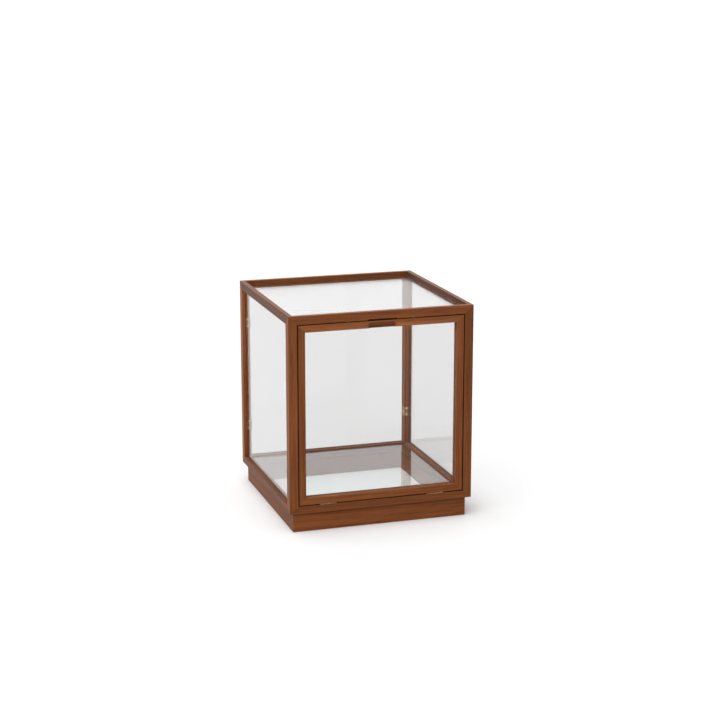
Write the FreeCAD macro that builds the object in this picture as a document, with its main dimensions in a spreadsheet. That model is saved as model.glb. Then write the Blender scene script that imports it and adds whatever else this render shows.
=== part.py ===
import FreeCAD, Part
import os
import Sketcher

# Glass display cabinet: a square wooden frame glazed on every side and on top, on a
# recessed plinth, with a glass floor and a glazed door that drops forward on two small
# brass hinges along its lower edge.
#
# Millimetres. +Z is up, the door faces -Y and +X is to the right of someone who faces it.
# The origin is the middle of the footprint, on the surface that the cabinet stands on.

# Driving dimensions: alias, value, what it measures
SIZES = [
    ("cabinet_width", 400, "outside of the frame, side to side"),
    ("cabinet_depth", 400, "outside of the frame, front to back"),
    ("cabinet_height", 460, "floor to the top of the rim"),
    ("plinth_height", 42, "height of the plinth boards"),
    ("plinth_inset", 10, "plinth face behind the frame face"),
    ("plinth_thickness", 22, "thickness of the plinth boards"),
    ("post_size", 19, "width and depth of a corner post"),
    ("top_rail_height", 18, "height of the top rails"),
    ("bottom_rail_height", 16, "height of the bottom rails"),
    ("rim_width", 11, "width of the rim above the top glass"),
    ("rim_to_glass", 10.5, "rim down to the face of the top glass"),
    ("top_ledge_reach", 3, "ledge under the edge of the top glass"),
    ("glass_thickness", 3, "every pane"),
    ("glass_play", 0.5, "play at the edge of a pane"),
    ("pane_setback", 6, "frame face to the face of a wall pane"),
    ("groove_depth", 5, "depth of the grooves that hold the wall panes"),
    ("groove_play", 0.15, "play beside a pane in its groove"),
    ("floor_drop", 2.5, "top of the bottom rails down to the floor glass"),
    ("floor_ledge_width", 4, "ledge under the edge of the floor glass"),
    ("door_gap", 2, "gap round the door"),
    ("door_member_width", 15, "face width of the door's frame"),
    ("door_lip", 12.5, "door face back to the door's glass"),
    ("door_rebate", 5, "overlap of the door's frame on its glass"),
    ("pull_length", 62, "length of the finger pull in the door's top rail"),
    ("pull_radius", 7, "radius of the finger pull's cove"),
    ("pull_drop", 9.5, "door's top edge down to the middle of the cove"),
    ("pull_proud", 0.5, "middle of the cove in front of the door's face"),
    ("pull_ramp", 6, "length of the cove's tapered ends"),
    ("pull_tip_radius", 2, "radius at the end of the taper"),
    ("finger_notch_height", 2, "notch in the top rail above the finger pull"),
    ("finger_notch_depth", 8, "depth of that notch, front to back"),
    ("stop_width", 12, "width of the door stop strips"),
    ("stop_thickness", 4, "thickness of the door stop strips"),
    ("stop_overlap", 6, "door stop strip in front of the opening"),
    ("hinge_inset", 61.5, "side of the door to the middle of a hinge"),
    ("hinge_length", 34, "length of the knuckles of a hinge"),
    ("hinge_depth", 13, "hinge axis back to the edge of a leaf"),
    ("leaf_thickness", 0.9, "thickness of a hinge leaf"),
    ("knuckle_radius", 1.6, "outside radius of a knuckle"),
    ("end_knuckle_length", 10, "length of each end knuckle"),
    ("knuckle_play", 0.3, "play between knuckles, and round them in the wood"),
    ("pin_radius", 0.75, "radius of a hinge pin"),
    ("pin_play", 0.05, "play of a pin in its knuckles"),
    ("pin_head_length", 1, "length of the heads at the ends of a pin"),
    ("screw_radius", 1.2, "radius of a screw's shank"),
    ("screw_length", 8, "length of a screw, head and shank"),
    ("screw_play", 0.05, "play of a screw in its hole"),
    ("screw_slot_width", 0.5, "width of the slot in a screw's head"),
    ("screw_slot_depth", 0.3, "depth of the slot in a screw's head"),
    ("hinge_screw_head_radius", 2, "radius of a countersunk hinge screw's head"),
    ("hinge_screw_setback", 8, "door face back to the hinge screws"),
    ("hinge_screw_spread", 10, "middle of a hinge to each of its screws"),
    ("clip_height", 22, "height of a pane clip"),
    ("clip_thickness", 1, "thickness of a pane clip"),
    ("clip_play", 0.2, "end of a clip's flange to the pane that it holds"),
    ("clip_place", 63.5, "end of the opening to the nearer edge of a clip"),
    ("clip_screw_setback", 5, "post's inner corner to the clip's screws"),
    ("clip_screw_spread", 7.5, "middle of a clip to its upper and lower screws"),
    ("clip_screw_head_radius", 2.2, "radius of a clip screw's head"),
    ("clip_screw_head_height", 1, "height of a clip screw's head"),
    ("magnet_radius", 2.5, "radius of a catch magnet"),
    ("magnet_thickness", 2.5, "thickness of a catch magnet"),
    ("magnet_place", 70, "middle of the door to a catch magnet"),
    ("magnet_setback", 5.5, "door face back to the catch magnets"),
    ("magnet_play", 0.05, "play of a magnet in its hole"),
    ("magnet_stand", 0.3, "face of a magnet in front of the wood round it"),
    ("dowel_radius", 3, "radius of the plinth dowels"),
    ("dowel_in_plinth", 12, "dowel below the top of the plinth"),
    ("dowel_in_rail", 8, "dowel above the top of the plinth"),
    ("dowel_place", 100, "middle of a side to its dowels"),
    ("dowel_play", 0.05, "play of a dowel in its hole"),
    ("overrun", 5, "how far a cut runs past what it cuts"),
]

LEFT, RIGHT = -1, 1
FRONT, REAR = -1, 1

doc = FreeCAD.newDocument("display_cabinet")
sheet = doc.addObject("Spreadsheet::Sheet", "Sizes")


class Size:
    """A length, as its value and as the sheet expression that gives it."""

    def __init__(self, value, text):
        self.value = float(value)
        self.text = text

    def __add__(self, other):
        return Size(self.value + other.value, f"({self.text} + {other.text})")

    def __sub__(self, other):
        return Size(self.value - other.value, f"({self.text} - {other.text})")

    def __mul__(self, factor):
        return Size(self.value * factor, f"({self.text} * {factor})")

    def __truediv__(self, factor):
        return Size(self.value / factor, f"({self.text} / {factor})")

    def __neg__(self):
        return Size(-self.value, f"(-1 * {self.text})")


def fill_sheet():
    """Writes the driving dimensions into the sheet and gives them as sizes by alias."""
    sizes = {}
    for row, (alias, value, meaning) in enumerate(SIZES, start=1):
        sheet.set(f"A{row}", meaning)
        sheet.set(f"B{row}", str(value))
        sheet.setAlias(f"B{row}", alias)
        sizes[alias] = Size(value, f"Sizes.{alias}")
    return sizes


S = fill_sheet()
doc.recompute()
ZERO = Size(0, "0")
OVER = S["overrun"]

# Places that several pieces share
half_width = S["cabinet_width"] / 2
half_depth = S["cabinet_depth"] / 2
top = S["cabinet_height"]
floor_level = S["plinth_height"]
post_inner_x = half_width - S["post_size"]
post_inner_y = half_depth - S["post_size"]
opening_top = top - S["top_rail_height"]
opening_bottom = floor_level + S["bottom_rail_height"]
rim_inner_x = half_width - S["rim_width"]
rim_inner_y = half_depth - S["rim_width"]
top_glass_top = top - S["rim_to_glass"]
top_ledge = top_glass_top - S["glass_thickness"]
ledge_inner_x = rim_inner_x - S["top_ledge_reach"]
ledge_inner_y = rim_inner_y - S["top_ledge_reach"]
groove_top = opening_top + S["groove_depth"]
groove_bottom = opening_bottom - S["groove_depth"]
groove_end_x = post_inner_x + S["groove_depth"]
groove_end_y = post_inner_y + S["groove_depth"]
pane_outer_x = half_width - S["pane_setback"]
pane_outer_y = half_depth - S["pane_setback"]
pane_inner_x = pane_outer_x - S["glass_thickness"]
pane_inner_y = pane_outer_y - S["glass_thickness"]
floor_glass_top = opening_bottom - S["floor_drop"]
floor_glass_bottom = floor_glass_top - S["glass_thickness"]
plinth_outer_x = half_width - S["plinth_inset"]
plinth_outer_y = half_depth - S["plinth_inset"]
plinth_inner_x = plinth_outer_x - S["plinth_thickness"]
plinth_inner_y = plinth_outer_y - S["plinth_thickness"]
dowel_x = (plinth_outer_x + post_inner_x) / 2
dowel_y = (plinth_outer_y + post_inner_y) / 2

# Places of the door, whose face is flush with the frame and whose back is flush with the
# backs of the posts
door_face = -half_depth
door_back = -post_inner_y
door_outer_x = post_inner_x - S["door_gap"]
door_top = opening_top - S["door_gap"]
door_bottom = opening_bottom + S["door_gap"]
sight_x = door_outer_x - S["door_member_width"]
sight_top = door_top - S["door_member_width"]
sight_bottom = door_bottom + S["door_member_width"]
rebate_x = sight_x + S["door_rebate"]
rebate_top = sight_top + S["door_rebate"]
rebate_bottom = sight_bottom - S["door_rebate"]
door_glass_face = door_face + S["door_lip"]
bead_face = door_glass_face + S["glass_thickness"]
hinge_axis_z = (opening_bottom + door_bottom) / 2
hinge_middle = door_outer_x - S["hinge_inset"]
frame_leaf_top = opening_bottom + S["leaf_thickness"]
door_leaf_bottom = door_bottom - S["leaf_thickness"]
hinge_screw_y = door_face + S["hinge_screw_setback"]
magnet_y = door_face + S["magnet_setback"]
magnet_sunk = S["magnet_thickness"] - S["magnet_stand"]
pull_z = door_top - S["pull_drop"]


def bind(thing, path, size):
    """Ties a property of an object to the sheet."""
    thing.setExpression(path, size.text)


def origin_plane(body, role):
    for plane in body.Origin.OriginFeatures:
        if plane.Role == role:
            return plane
    raise ValueError(role)


def new_sketch(body, role, along, shift=(ZERO, ZERO)):
    """A sketch on one of the body's origin planes.

    The planes are XY_Plane, XZ_Plane and YZ_Plane, and along is the place on the third
    axis. The XZ plane faces -Y, so its offset is turned round.
    """
    sketch = body.newObject("Sketcher::SketchObject", f"{body.Name}_outline")
    sketch.AttachmentSupport = [(origin_plane(body, role), "")]
    sketch.MapMode = "FlatFace"
    across, upward = shift
    bind(sketch, "AttachmentOffset.Base.x", across)
    bind(sketch, "AttachmentOffset.Base.y", upward)
    bind(sketch, "AttachmentOffset.Base.z", -along if role == "XZ_Plane" else along)
    return sketch


def constrain(sketch, kind, elements, size, name):
    index = sketch.addConstraint(Sketcher.Constraint(kind, *elements, size.value))
    sketch.renameConstraint(index, name)
    bind(sketch, f"Constraints.{name}", size)


def draw_polygon(sketch, points):
    """A closed outline whose corners are tied to the sheet."""
    corners = [FreeCAD.Vector(a.value, b.value, 0) for a, b in points]
    count = len(points)
    for i, corner in enumerate(corners):
        sketch.addGeometry(Part.LineSegment(corner, corners[(i + 1) % count]), False)
    for i in range(count):
        sketch.addConstraint(Sketcher.Constraint("Coincident", i, 2, (i + 1) % count, 1))
    for i, (a, b) in enumerate(points):
        constrain(sketch, "DistanceX", (-1, 1, i, 1), a, f"across_{i}")
        constrain(sketch, "DistanceY", (-1, 1, i, 1), b, f"up_{i}")


def draw_circles(sketch, centres, radius):
    for i, (a, b) in enumerate(centres):
        middle = FreeCAD.Vector(a.value, b.value, 0)
        sketch.addGeometry(Part.Circle(middle, FreeCAD.Vector(0, 0, 1), radius.value), False)
        constrain(sketch, "DistanceX", (-1, 1, i, 3), a, f"across_{i}")
        constrain(sketch, "DistanceY", (-1, 1, i, 3), b, f"up_{i}")
        constrain(sketch, "Radius", (i,), radius, f"radius_{i}")


def extrude(body, kind, sketch, low, high):
    """A pad or a pocket of a sketch that lies midway between low and high."""
    feature = body.newObject(kind, f"{body.Name}_{kind.split('::')[1].lower()}")
    feature.Profile = sketch
    feature.SideType = "Symmetric"
    feature.Length = (high - low).value
    bind(feature, "Length", high - low)
    sketch.Visibility = False
    return feature


def add_prism(body, role, points, low, high):
    sketch = new_sketch(body, role, (low + high) / 2)
    draw_polygon(sketch, points)
    extrude(body, "PartDesign::Pad", sketch, low, high)


def add_round(body, role, centres, radius, low, high):
    sketch = new_sketch(body, role, (low + high) / 2)
    draw_circles(sketch, centres, radius)
    extrude(body, "PartDesign::Pad", sketch, low, high)


def cut_prism(body, role, points, low, high):
    sketch = new_sketch(body, role, (low + high) / 2)
    draw_polygon(sketch, points)
    extrude(body, "PartDesign::Pocket", sketch, low, high)


def cut_round(body, role, centres, radius, low, high):
    sketch = new_sketch(body, role, (low + high) / 2)
    draw_circles(sketch, centres, radius)
    extrude(body, "PartDesign::Pocket", sketch, low, high)


def cut_turned(body, role, along, shift, points, axis):
    """A cut whose outline turns about an axis of its own sketch."""
    sketch = new_sketch(body, role, along, shift)
    draw_polygon(sketch, points)
    groove = body.newObject("PartDesign::Groove", f"{body.Name}_groove")
    groove.Profile = sketch
    groove.ReferenceAxis = (sketch, [axis])
    groove.Angle = 360
    sketch.Visibility = False


def new_body(label):
    body = doc.addObject("PartDesign::Body", label)
    body.Label = label
    NODES.append(body)
    return body


def board(label, role, points, low, high):
    body = new_body(label)
    add_prism(body, role, points, low, high)
    return body


def rectangle(low_a, high_a, low_b, high_b):
    return [(low_a, low_b), (high_a, low_b), (high_a, high_b), (low_a, high_b)]


def cylinder(name, radius, height, base, turn=FreeCAD.Rotation()):
    """A round bar along local +Z, turned, from base."""
    bar = doc.addObject("Part::Cylinder", name)
    bind(bar, "Radius", radius)
    bind(bar, "Height", height)
    place(bar, base, turn)
    return bar


def place(thing, base, turn=FreeCAD.Rotation()):
    middle = FreeCAD.Vector(base[0].value, base[1].value, base[2].value)
    thing.Placement = FreeCAD.Placement(middle, turn)
    for axis, size in zip("xyz", base):
        bind(thing, f"Placement.Base.{axis}", size)


def group(label, things):
    """Identical separate solids that share one node."""
    bundle = doc.addObject("Part::Compound", label)
    bundle.Label = label
    bundle.Links = things
    NODES.append(bundle)


def mitre(run_inner, width_inner, run_outer, width_outer):
    """What a mitre takes off the end of a member, as pairs of run and width.

    The joint goes from the inner corner to the outer corner. The run is the member's
    length, and what is cut lies beyond the joint.
    """
    run_over = OVER if run_outer.value > run_inner.value else -OVER
    width_over = OVER if width_outer.value > width_inner.value else -OVER
    return [
        (run_inner, width_inner),
        (run_outer, width_outer),
        (run_outer + run_over, width_outer),
        (run_outer + run_over, width_inner - width_over),
        (run_inner, width_inner - width_over),
    ]


def swapped(points):
    return [(b, a) for a, b in points]


def mirrored(sign, points):
    """Points with their first place on the left or the right, or at the front or back."""
    return [(a if sign > 0 else -a, b) for a, b in points]


def toward(sign, size):
    return size if sign > 0 else -size


def between(sign, low, high):
    """The two places in rising order, on one side of the middle."""
    return (low, high) if sign > 0 else (-high, -low)


NODES = []
SIDE_NAMES = {LEFT: "left", RIGHT: "right"}
END_NAMES = {FRONT: "front", REAR: "rear"}


def make_plinth():
    """Four mitred boards, drilled from above for the dowels that hold the frame."""
    dowel_hole = S["dowel_radius"] + S["dowel_play"]
    hole_low = floor_level - S["dowel_in_plinth"]
    hole_high = floor_level + OVER
    for end, name in END_NAMES.items():
        low, high = between(end, plinth_inner_y, plinth_outer_y)
        body = board(f"plinth_{name}", "YZ_Plane", rectangle(low, high, ZERO, floor_level),
                     -plinth_outer_x, plinth_outer_x)
        for side in SIDE_NAMES:
            points = mitre(toward(side, plinth_inner_x), toward(end, plinth_inner_y),
                           toward(side, plinth_outer_x), toward(end, plinth_outer_y))
            cut_prism(body, "XY_Plane", points, -OVER, hole_high)
        centres = [(toward(side, S["dowel_place"]), toward(end, dowel_y)) for side in SIDE_NAMES]
        cut_round(body, "XY_Plane", centres, dowel_hole, hole_low, hole_high)
    for side, name in SIDE_NAMES.items():
        low, high = between(side, plinth_inner_x, plinth_outer_x)
        body = board(f"plinth_{name}", "XZ_Plane", rectangle(low, high, ZERO, floor_level),
                     -plinth_outer_y, plinth_outer_y)
        for end in END_NAMES:
            points = mitre(toward(end, plinth_inner_y), toward(side, plinth_inner_x),
                           toward(end, plinth_outer_y), toward(side, plinth_outer_x))
            cut_prism(body, "XY_Plane", swapped(points), -OVER, hole_high)
        centres = [(toward(side, dowel_x), toward(end, S["dowel_place"])) for end in END_NAMES]
        cut_round(body, "XY_Plane", centres, dowel_hole, hole_low, hole_high)


def make_dowels():
    """Two dowels on each side, from the plinth up into the bottom rails."""
    places = []
    for side in SIDE_NAMES:
        for end in END_NAMES:
            places.append((toward(side, S["dowel_place"]), toward(end, dowel_y)))
            places.append((toward(side, dowel_x), toward(end, S["dowel_place"])))
    low = floor_level - S["dowel_in_plinth"]
    length = S["dowel_in_plinth"] + S["dowel_in_rail"]
    group("plinth_dowels", [
        cylinder(f"plinth_dowel_{i}", S["dowel_radius"], length, (x, y, low))
        for i, (x, y) in enumerate(places)
    ])


def cut_member_ends(body, runs_along_x, side, inner_z, outer_z):
    """Three-way mitres at both ends of a rail: one cut in plan and one in elevation."""
    low_z, high_z = floor_level - OVER, top + OVER
    if runs_along_x:
        for end in SIDE_NAMES:
            plan = mitre(toward(end, post_inner_x), toward(side, post_inner_y),
                         toward(end, half_width), toward(side, half_depth))
            cut_prism(body, "XY_Plane", plan, low_z, high_z)
            rise = mitre(toward(end, post_inner_x), inner_z, toward(end, half_width), outer_z)
            low, high = between(side, ledge_inner_y - OVER - OVER, half_depth + OVER)
            cut_prism(body, "XZ_Plane", rise, low, high)
    else:
        for end in END_NAMES:
            plan = mitre(toward(end, post_inner_y), toward(side, post_inner_x),
                         toward(end, half_depth), toward(side, half_width))
            cut_prism(body, "XY_Plane", swapped(plan), low_z, high_z)
            rise = mitre(toward(end, post_inner_y), inner_z, toward(end, half_depth), outer_z)
            low, high = between(side, ledge_inner_x - OVER - OVER, half_width + OVER)
            cut_prism(body, "YZ_Plane", rise, low, high)


def top_rail_section(side, inner, rim_inner, outer):
    """An upright rim with a small ledge at its foot for the top glass."""
    return mirrored(side, [
        (inner, opening_top), (outer, opening_top), (outer, top),
        (rim_inner, top), (rim_inner, top_ledge), (inner, top_ledge),
    ])


def groove_section(side, pane_inner, pane_outer, low, high):
    """The groove for a wall pane, with play on both faces of the glass."""
    return mirrored(side, rectangle(pane_inner - S["groove_play"],
                                    pane_outer + S["groove_play"], low, high))


def make_top_rails():
    for end, name in END_NAMES.items():
        section = top_rail_section(end, ledge_inner_y, rim_inner_y, half_depth)
        body = board(f"top_rail_{name}", "YZ_Plane", section, -half_width, half_width)
        cut_member_ends(body, True, end, opening_top, top)
        if end == REAR:
            groove = groove_section(end, pane_inner_y, pane_outer_y,
                                    opening_top - OVER, groove_top)
            cut_prism(body, "YZ_Plane", groove, -groove_end_x, groove_end_x)
        else:
            cut_front_top_rail(body)
    for side, name in SIDE_NAMES.items():
        section = top_rail_section(side, ledge_inner_x, rim_inner_x, half_width)
        body = board(f"top_rail_{name}", "XZ_Plane", section, -half_depth, half_depth)
        cut_member_ends(body, False, side, opening_top, top)
        groove = groove_section(side, pane_inner_x, pane_outer_x,
                                opening_top - OVER, groove_top)
        cut_prism(body, "XZ_Plane", groove, -groove_end_y, groove_end_y)


def cut_front_top_rail(body):
    """The notch for the fingertips and the two holes for the catch magnets."""
    notch = rectangle(door_face - OVER, door_face + S["finger_notch_depth"],
                      opening_top - OVER, opening_top + S["finger_notch_height"])
    cut_prism(body, "YZ_Plane", notch, -S["pull_length"] / 2, S["pull_length"] / 2)
    centres = [(toward(side, S["magnet_place"]), magnet_y) for side in SIDE_NAMES]
    cut_round(body, "XY_Plane", centres, S["magnet_radius"] + S["magnet_play"],
              opening_top - OVER, opening_top + magnet_sunk)


def make_bottom_rails():
    dowel_hole = S["dowel_radius"] + S["dowel_play"]
    hole_low = floor_level - OVER
    hole_high = floor_level + S["dowel_in_rail"]
    for end, name in END_NAMES.items():
        low, high = between(end, post_inner_y, half_depth)
        section = rectangle(low, high, floor_level, opening_bottom)
        body = board(f"bottom_rail_{name}", "YZ_Plane", section, -half_width, half_width)
        cut_member_ends(body, True, end, opening_bottom, floor_level)
        centres = [(toward(side, S["dowel_place"]), toward(end, dowel_y)) for side in SIDE_NAMES]
        cut_round(body, "XY_Plane", centres, dowel_hole, hole_low, hole_high)
        if end == REAR:
            groove = groove_section(end, pane_inner_y, pane_outer_y,
                                    groove_bottom, opening_bottom + OVER)
            cut_prism(body, "YZ_Plane", groove, -groove_end_x, groove_end_x)
        else:
            cut_for_hinges(body, opening_bottom - S["screw_length"], opening_bottom + OVER)
    for side, name in SIDE_NAMES.items():
        low, high = between(side, post_inner_x, half_width)
        section = rectangle(low, high, floor_level, opening_bottom)
        body = board(f"bottom_rail_{name}", "XZ_Plane", section, -half_depth, half_depth)
        cut_member_ends(body, False, side, opening_bottom, floor_level)
        centres = [(toward(side, dowel_x), toward(end, S["dowel_place"])) for end in END_NAMES]
        cut_round(body, "XY_Plane", centres, dowel_hole, hole_low, hole_high)
        groove = groove_section(side, pane_inner_x, pane_outer_x,
                                groove_bottom, opening_bottom + OVER)
        cut_prism(body, "XZ_Plane", groove, -groove_end_y, groove_end_y)


def cut_for_hinges(body, hole_low, hole_high):
    """Room for the knuckles, and pilot holes for the screws of both hinges."""
    room = S["hinge_length"] / 2 + S["pin_head_length"] + S["knuckle_play"]
    for side in SIDE_NAMES:
        middle = toward(side, hinge_middle)
        cut_round(body, "YZ_Plane", [(door_face, hinge_axis_z)],
                  S["knuckle_radius"] + S["knuckle_play"], middle - room, middle + room)
    centres = [(x, hinge_screw_y) for x in hinge_screw_xs()]
    cut_round(body, "XY_Plane", centres, S["screw_radius"] + S["screw_play"],
              hole_low, hole_high)


def hinge_screw_xs():
    return [toward(side, hinge_middle) + toward(end, S["hinge_screw_spread"])
            for side in SIDE_NAMES for end in (LEFT, RIGHT)]


def make_posts():
    """Square posts with grooves for the wall panes and three-way mitres at both ends."""
    for end, end_name in END_NAMES.items():
        for side, side_name in SIDE_NAMES.items():
            low_x, high_x = between(side, post_inner_x, half_width)
            low_y, high_y = between(end, post_inner_y, half_depth)
            body = board(f"post_{end_name}_{side_name}", "XY_Plane",
                         rectangle(low_x, high_x, low_y, high_y), floor_level, top)
            for inner_z, outer_z in ((opening_top, top), (opening_bottom, floor_level)):
                front = mitre(inner_z, toward(side, post_inner_x),
                              outer_z, toward(side, half_width))
                cut_prism(body, "XZ_Plane", swapped(front), low_y - OVER, high_y + OVER)
                flank = mitre(inner_z, toward(end, post_inner_y),
                              outer_z, toward(end, half_depth))
                cut_prism(body, "YZ_Plane", swapped(flank), low_x - OVER, high_x + OVER)
            cut_post_seats(body, end, side)


def cut_post_seats(body, end, side):
    """The seat for the corner of the top glass, the pane grooves and the clip screws."""
    seat_x = between(side, post_inner_x - OVER, rim_inner_x)
    seat_y = between(end, post_inner_y - OVER, rim_inner_y)
    cut_prism(body, "XY_Plane", rectangle(*seat_x, *seat_y), top_ledge, top + OVER)
    pane_x = between(side, pane_inner_x - S["groove_play"], pane_outer_x + S["groove_play"])
    groove_y = between(end, post_inner_y - OVER, groove_end_y)
    cut_prism(body, "XY_Plane", rectangle(*pane_x, *groove_y), groove_bottom, groove_top)
    if end == REAR:
        pane_y = (pane_inner_y - S["groove_play"], pane_outer_y + S["groove_play"])
        groove_x = between(side, post_inner_x - OVER, groove_end_x)
        cut_prism(body, "XY_Plane", rectangle(*groove_x, *pane_y), groove_bottom, groove_top)
        cut_clip_holes(body, side)


def clip_middles():
    """Heights of the upper and the lower pane clip."""
    reach = S["clip_place"] + S["clip_height"] / 2
    return {"upper": opening_top - reach, "lower": opening_bottom + reach}


def outer_screw_heights(middle):
    """Heights of the two screws in the front flange of the clip with that middle."""
    return middle - S["clip_screw_spread"], middle + S["clip_screw_spread"]


def cut_clip_holes(body, side):
    """Pilot holes for the clips' screws: two in the post's front face, one in its side."""
    radius = S["screw_radius"] + S["screw_play"]
    setback = S["clip_screw_setback"]
    depth = S["screw_length"] - S["clip_screw_head_height"] - S["clip_thickness"]
    for middle in clip_middles().values():
        cut_round(body, "XZ_Plane",
                  [(toward(side, post_inner_x + setback), height)
                   for height in outer_screw_heights(middle)],
                  radius, post_inner_y - OVER, post_inner_y + depth)
        low, high = between(side, post_inner_x - OVER, post_inner_x + depth)
        cut_round(body, "YZ_Plane", [(post_inner_y + setback, middle)], radius, low, high)


def make_floor_ledges():
    """Strips round the inside of the bottom rails that carry the floor glass."""
    inner_x = post_inner_x - S["floor_ledge_width"]
    inner_y = post_inner_y - S["floor_ledge_width"]
    for end, name in END_NAMES.items():
        low, high = between(end, inner_y, post_inner_y)
        board(f"floor_ledge_{name}", "YZ_Plane",
              rectangle(low, high, floor_level, floor_glass_bottom), -post_inner_x, post_inner_x)
    for side, name in SIDE_NAMES.items():
        low, high = between(side, inner_x, post_inner_x)
        board(f"floor_ledge_{name}", "XZ_Plane",
              rectangle(low, high, floor_level, floor_glass_bottom), -inner_y, inner_y)


def make_panes():
    """Top, floor and wall panes of plain glass."""
    play = S["glass_play"]
    top_x, top_y = rim_inner_x - play, rim_inner_y - play
    board("top_glass", "XY_Plane", rectangle(-top_x, top_x, -top_y, top_y),
          top_ledge, top_glass_top)
    floor_x, floor_y = post_inner_x - play, post_inner_y - play
    board("floor_glass", "XY_Plane", rectangle(-floor_x, floor_x, -floor_y, floor_y),
          floor_glass_bottom, floor_glass_top)
    pane_top = groove_top - play
    end_x, end_y = groove_end_x - play, groove_end_y - play
    for side, name in SIDE_NAMES.items():
        low, high = between(side, pane_inner_x, pane_outer_x)
        board(f"side_glass_{name}", "XY_Plane", rectangle(low, high, -end_y, end_y),
              groove_bottom, pane_top)
    board("rear_glass", "XY_Plane", rectangle(-end_x, end_x, pane_inner_y, pane_outer_y),
          groove_bottom, pane_top)


def make_door_stops():
    """Strips behind the front posts that the closed door rests against."""
    inner = post_inner_x - S["stop_overlap"]
    for side, name in SIDE_NAMES.items():
        low, high = between(side, inner, inner + S["stop_width"])
        board(f"door_stop_{name}", "XY_Plane",
              rectangle(low, high, door_back, door_back + S["stop_thickness"]),
              opening_bottom, opening_top)


def make_pane_clips():
    """Brass angles round the inner corners of the rear posts, which steady the panes."""
    thick = S["clip_thickness"]
    end_x = pane_inner_x - S["clip_play"]
    end_y = pane_inner_y - S["clip_play"]
    hole = S["screw_radius"] + S["screw_play"]
    setback = S["clip_screw_setback"]
    for side, side_name in SIDE_NAMES.items():
        for height_name, middle in clip_middles().items():
            angle = mirrored(side, [
                (post_inner_x, post_inner_y), (end_x, post_inner_y),
                (end_x, post_inner_y - thick), (post_inner_x - thick, post_inner_y - thick),
                (post_inner_x - thick, end_y), (post_inner_x, end_y),
            ])
            half = S["clip_height"] / 2
            body = board(f"pane_clip_{side_name}_{height_name}", "XY_Plane", angle,
                         middle - half, middle + half)
            cut_round(body, "XZ_Plane",
                      [(toward(side, post_inner_x + setback), height)
                       for height in outer_screw_heights(middle)],
                      hole, post_inner_y - OVER, post_inner_y + thick)
            low, high = between(side, post_inner_x - OVER, post_inner_x + thick)
            cut_round(body, "YZ_Plane", [(post_inner_y + setback, middle)], hole, low, high)


def make_screw(name, head_top, head_foot, head_height, head_is_sunk, base, turn):
    """A slotted screw along local +Z, with its head's seat at base.

    A sunk head tapers down into its hole from the top face, and a raised head stands on
    the face and tapers up to its flat top.
    """
    drop = head_height if head_is_sunk else ZERO
    head = doc.addObject("Part::Cone", f"{name}_head")
    bind(head, "Radius1", head_foot)
    bind(head, "Radius2", head_top)
    bind(head, "Height", head_height)
    place(head, (ZERO, ZERO, -drop))
    shank_length = S["screw_length"] - head_height
    shank = cylinder(f"{name}_shank", S["screw_radius"], shank_length,
                     (ZERO, ZERO, -drop - shank_length))
    whole = doc.addObject("Part::Fuse", f"{name}_blank")
    whole.Base, whole.Tool = head, shank
    slot = doc.addObject("Part::Box", f"{name}_slot")
    reach = head_top + head_foot
    bind(slot, "Length", reach * 2)
    bind(slot, "Width", S["screw_slot_width"])
    bind(slot, "Height", S["screw_slot_depth"] + OVER)
    place(slot, (-reach, -S["screw_slot_width"] / 2,
                 head_height - drop - S["screw_slot_depth"]))
    screw = doc.addObject("Part::Cut", name)
    screw.Base, screw.Tool = whole, slot
    place(screw, base, turn)
    return screw


def make_clip_screws():
    """Raised screws: two in each pane clip's front flange and one in its side flange."""
    raised_share = 0.7
    head = S["clip_screw_head_radius"]
    setback = S["clip_screw_setback"]
    seat_x = post_inner_x - S["clip_thickness"]
    seat_y = post_inner_y - S["clip_thickness"]
    facing_front = FreeCAD.Rotation(FreeCAD.Vector(1, 0, 0), 90)
    screws = []
    for side, side_name in SIDE_NAMES.items():
        facing_in = FreeCAD.Rotation(FreeCAD.Vector(0, 1, 0), -90 * side)
        for height_name, middle in clip_middles().items():
            name = f"clip_screw_{side_name}_{height_name}"
            low, high = outer_screw_heights(middle)
            front_x, side_y = toward(side, post_inner_x + setback), post_inner_y + setback
            for part, base, turn in (
                    ("low", (front_x, seat_y, low), facing_front),
                    ("high", (front_x, seat_y, high), facing_front),
                    ("side", (toward(side, seat_x), side_y, middle), facing_in)):
                screws.append(make_screw(f"{name}_{part}", head * raised_share, head,
                                         S["clip_screw_head_height"], False, base, turn))
    group("pane_clip_screws", screws)


def make_hinge_leaf(label, middle, plate_low, plate_high, knuckles, gaps, face, faces_up):
    """A flat leaf with its knuckles, cleared where the other leaf's knuckles turn."""
    half = S["hinge_length"] / 2
    body = board(label, "YZ_Plane",
                 rectangle(door_face, door_face + S["hinge_depth"], plate_low, plate_high),
                 middle - half, middle + half)
    axis = [(door_face, hinge_axis_z)]
    for low, high in gaps:
        cut_round(body, "YZ_Plane", axis, S["knuckle_radius"] + S["knuckle_play"], low, high)
    for low, high in knuckles:
        add_round(body, "YZ_Plane", axis, S["knuckle_radius"], low, high)
    cut_round(body, "YZ_Plane", axis, S["pin_radius"] + S["pin_play"],
              middle - half - OVER, middle + half + OVER)
    wide = S["hinge_screw_head_radius"] + S["screw_play"]
    narrow = S["screw_radius"] + S["screw_play"]
    depth = -S["leaf_thickness"] if faces_up else S["leaf_thickness"]
    for end in (LEFT, RIGHT):
        x = middle + toward(end, S["hinge_screw_spread"])
        cut_turned(body, "XZ_Plane", hinge_screw_y, (x, face),
                   [(ZERO, ZERO), (wide, ZERO), (narrow, depth), (ZERO, depth)], "V_Axis")
    return body


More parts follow.
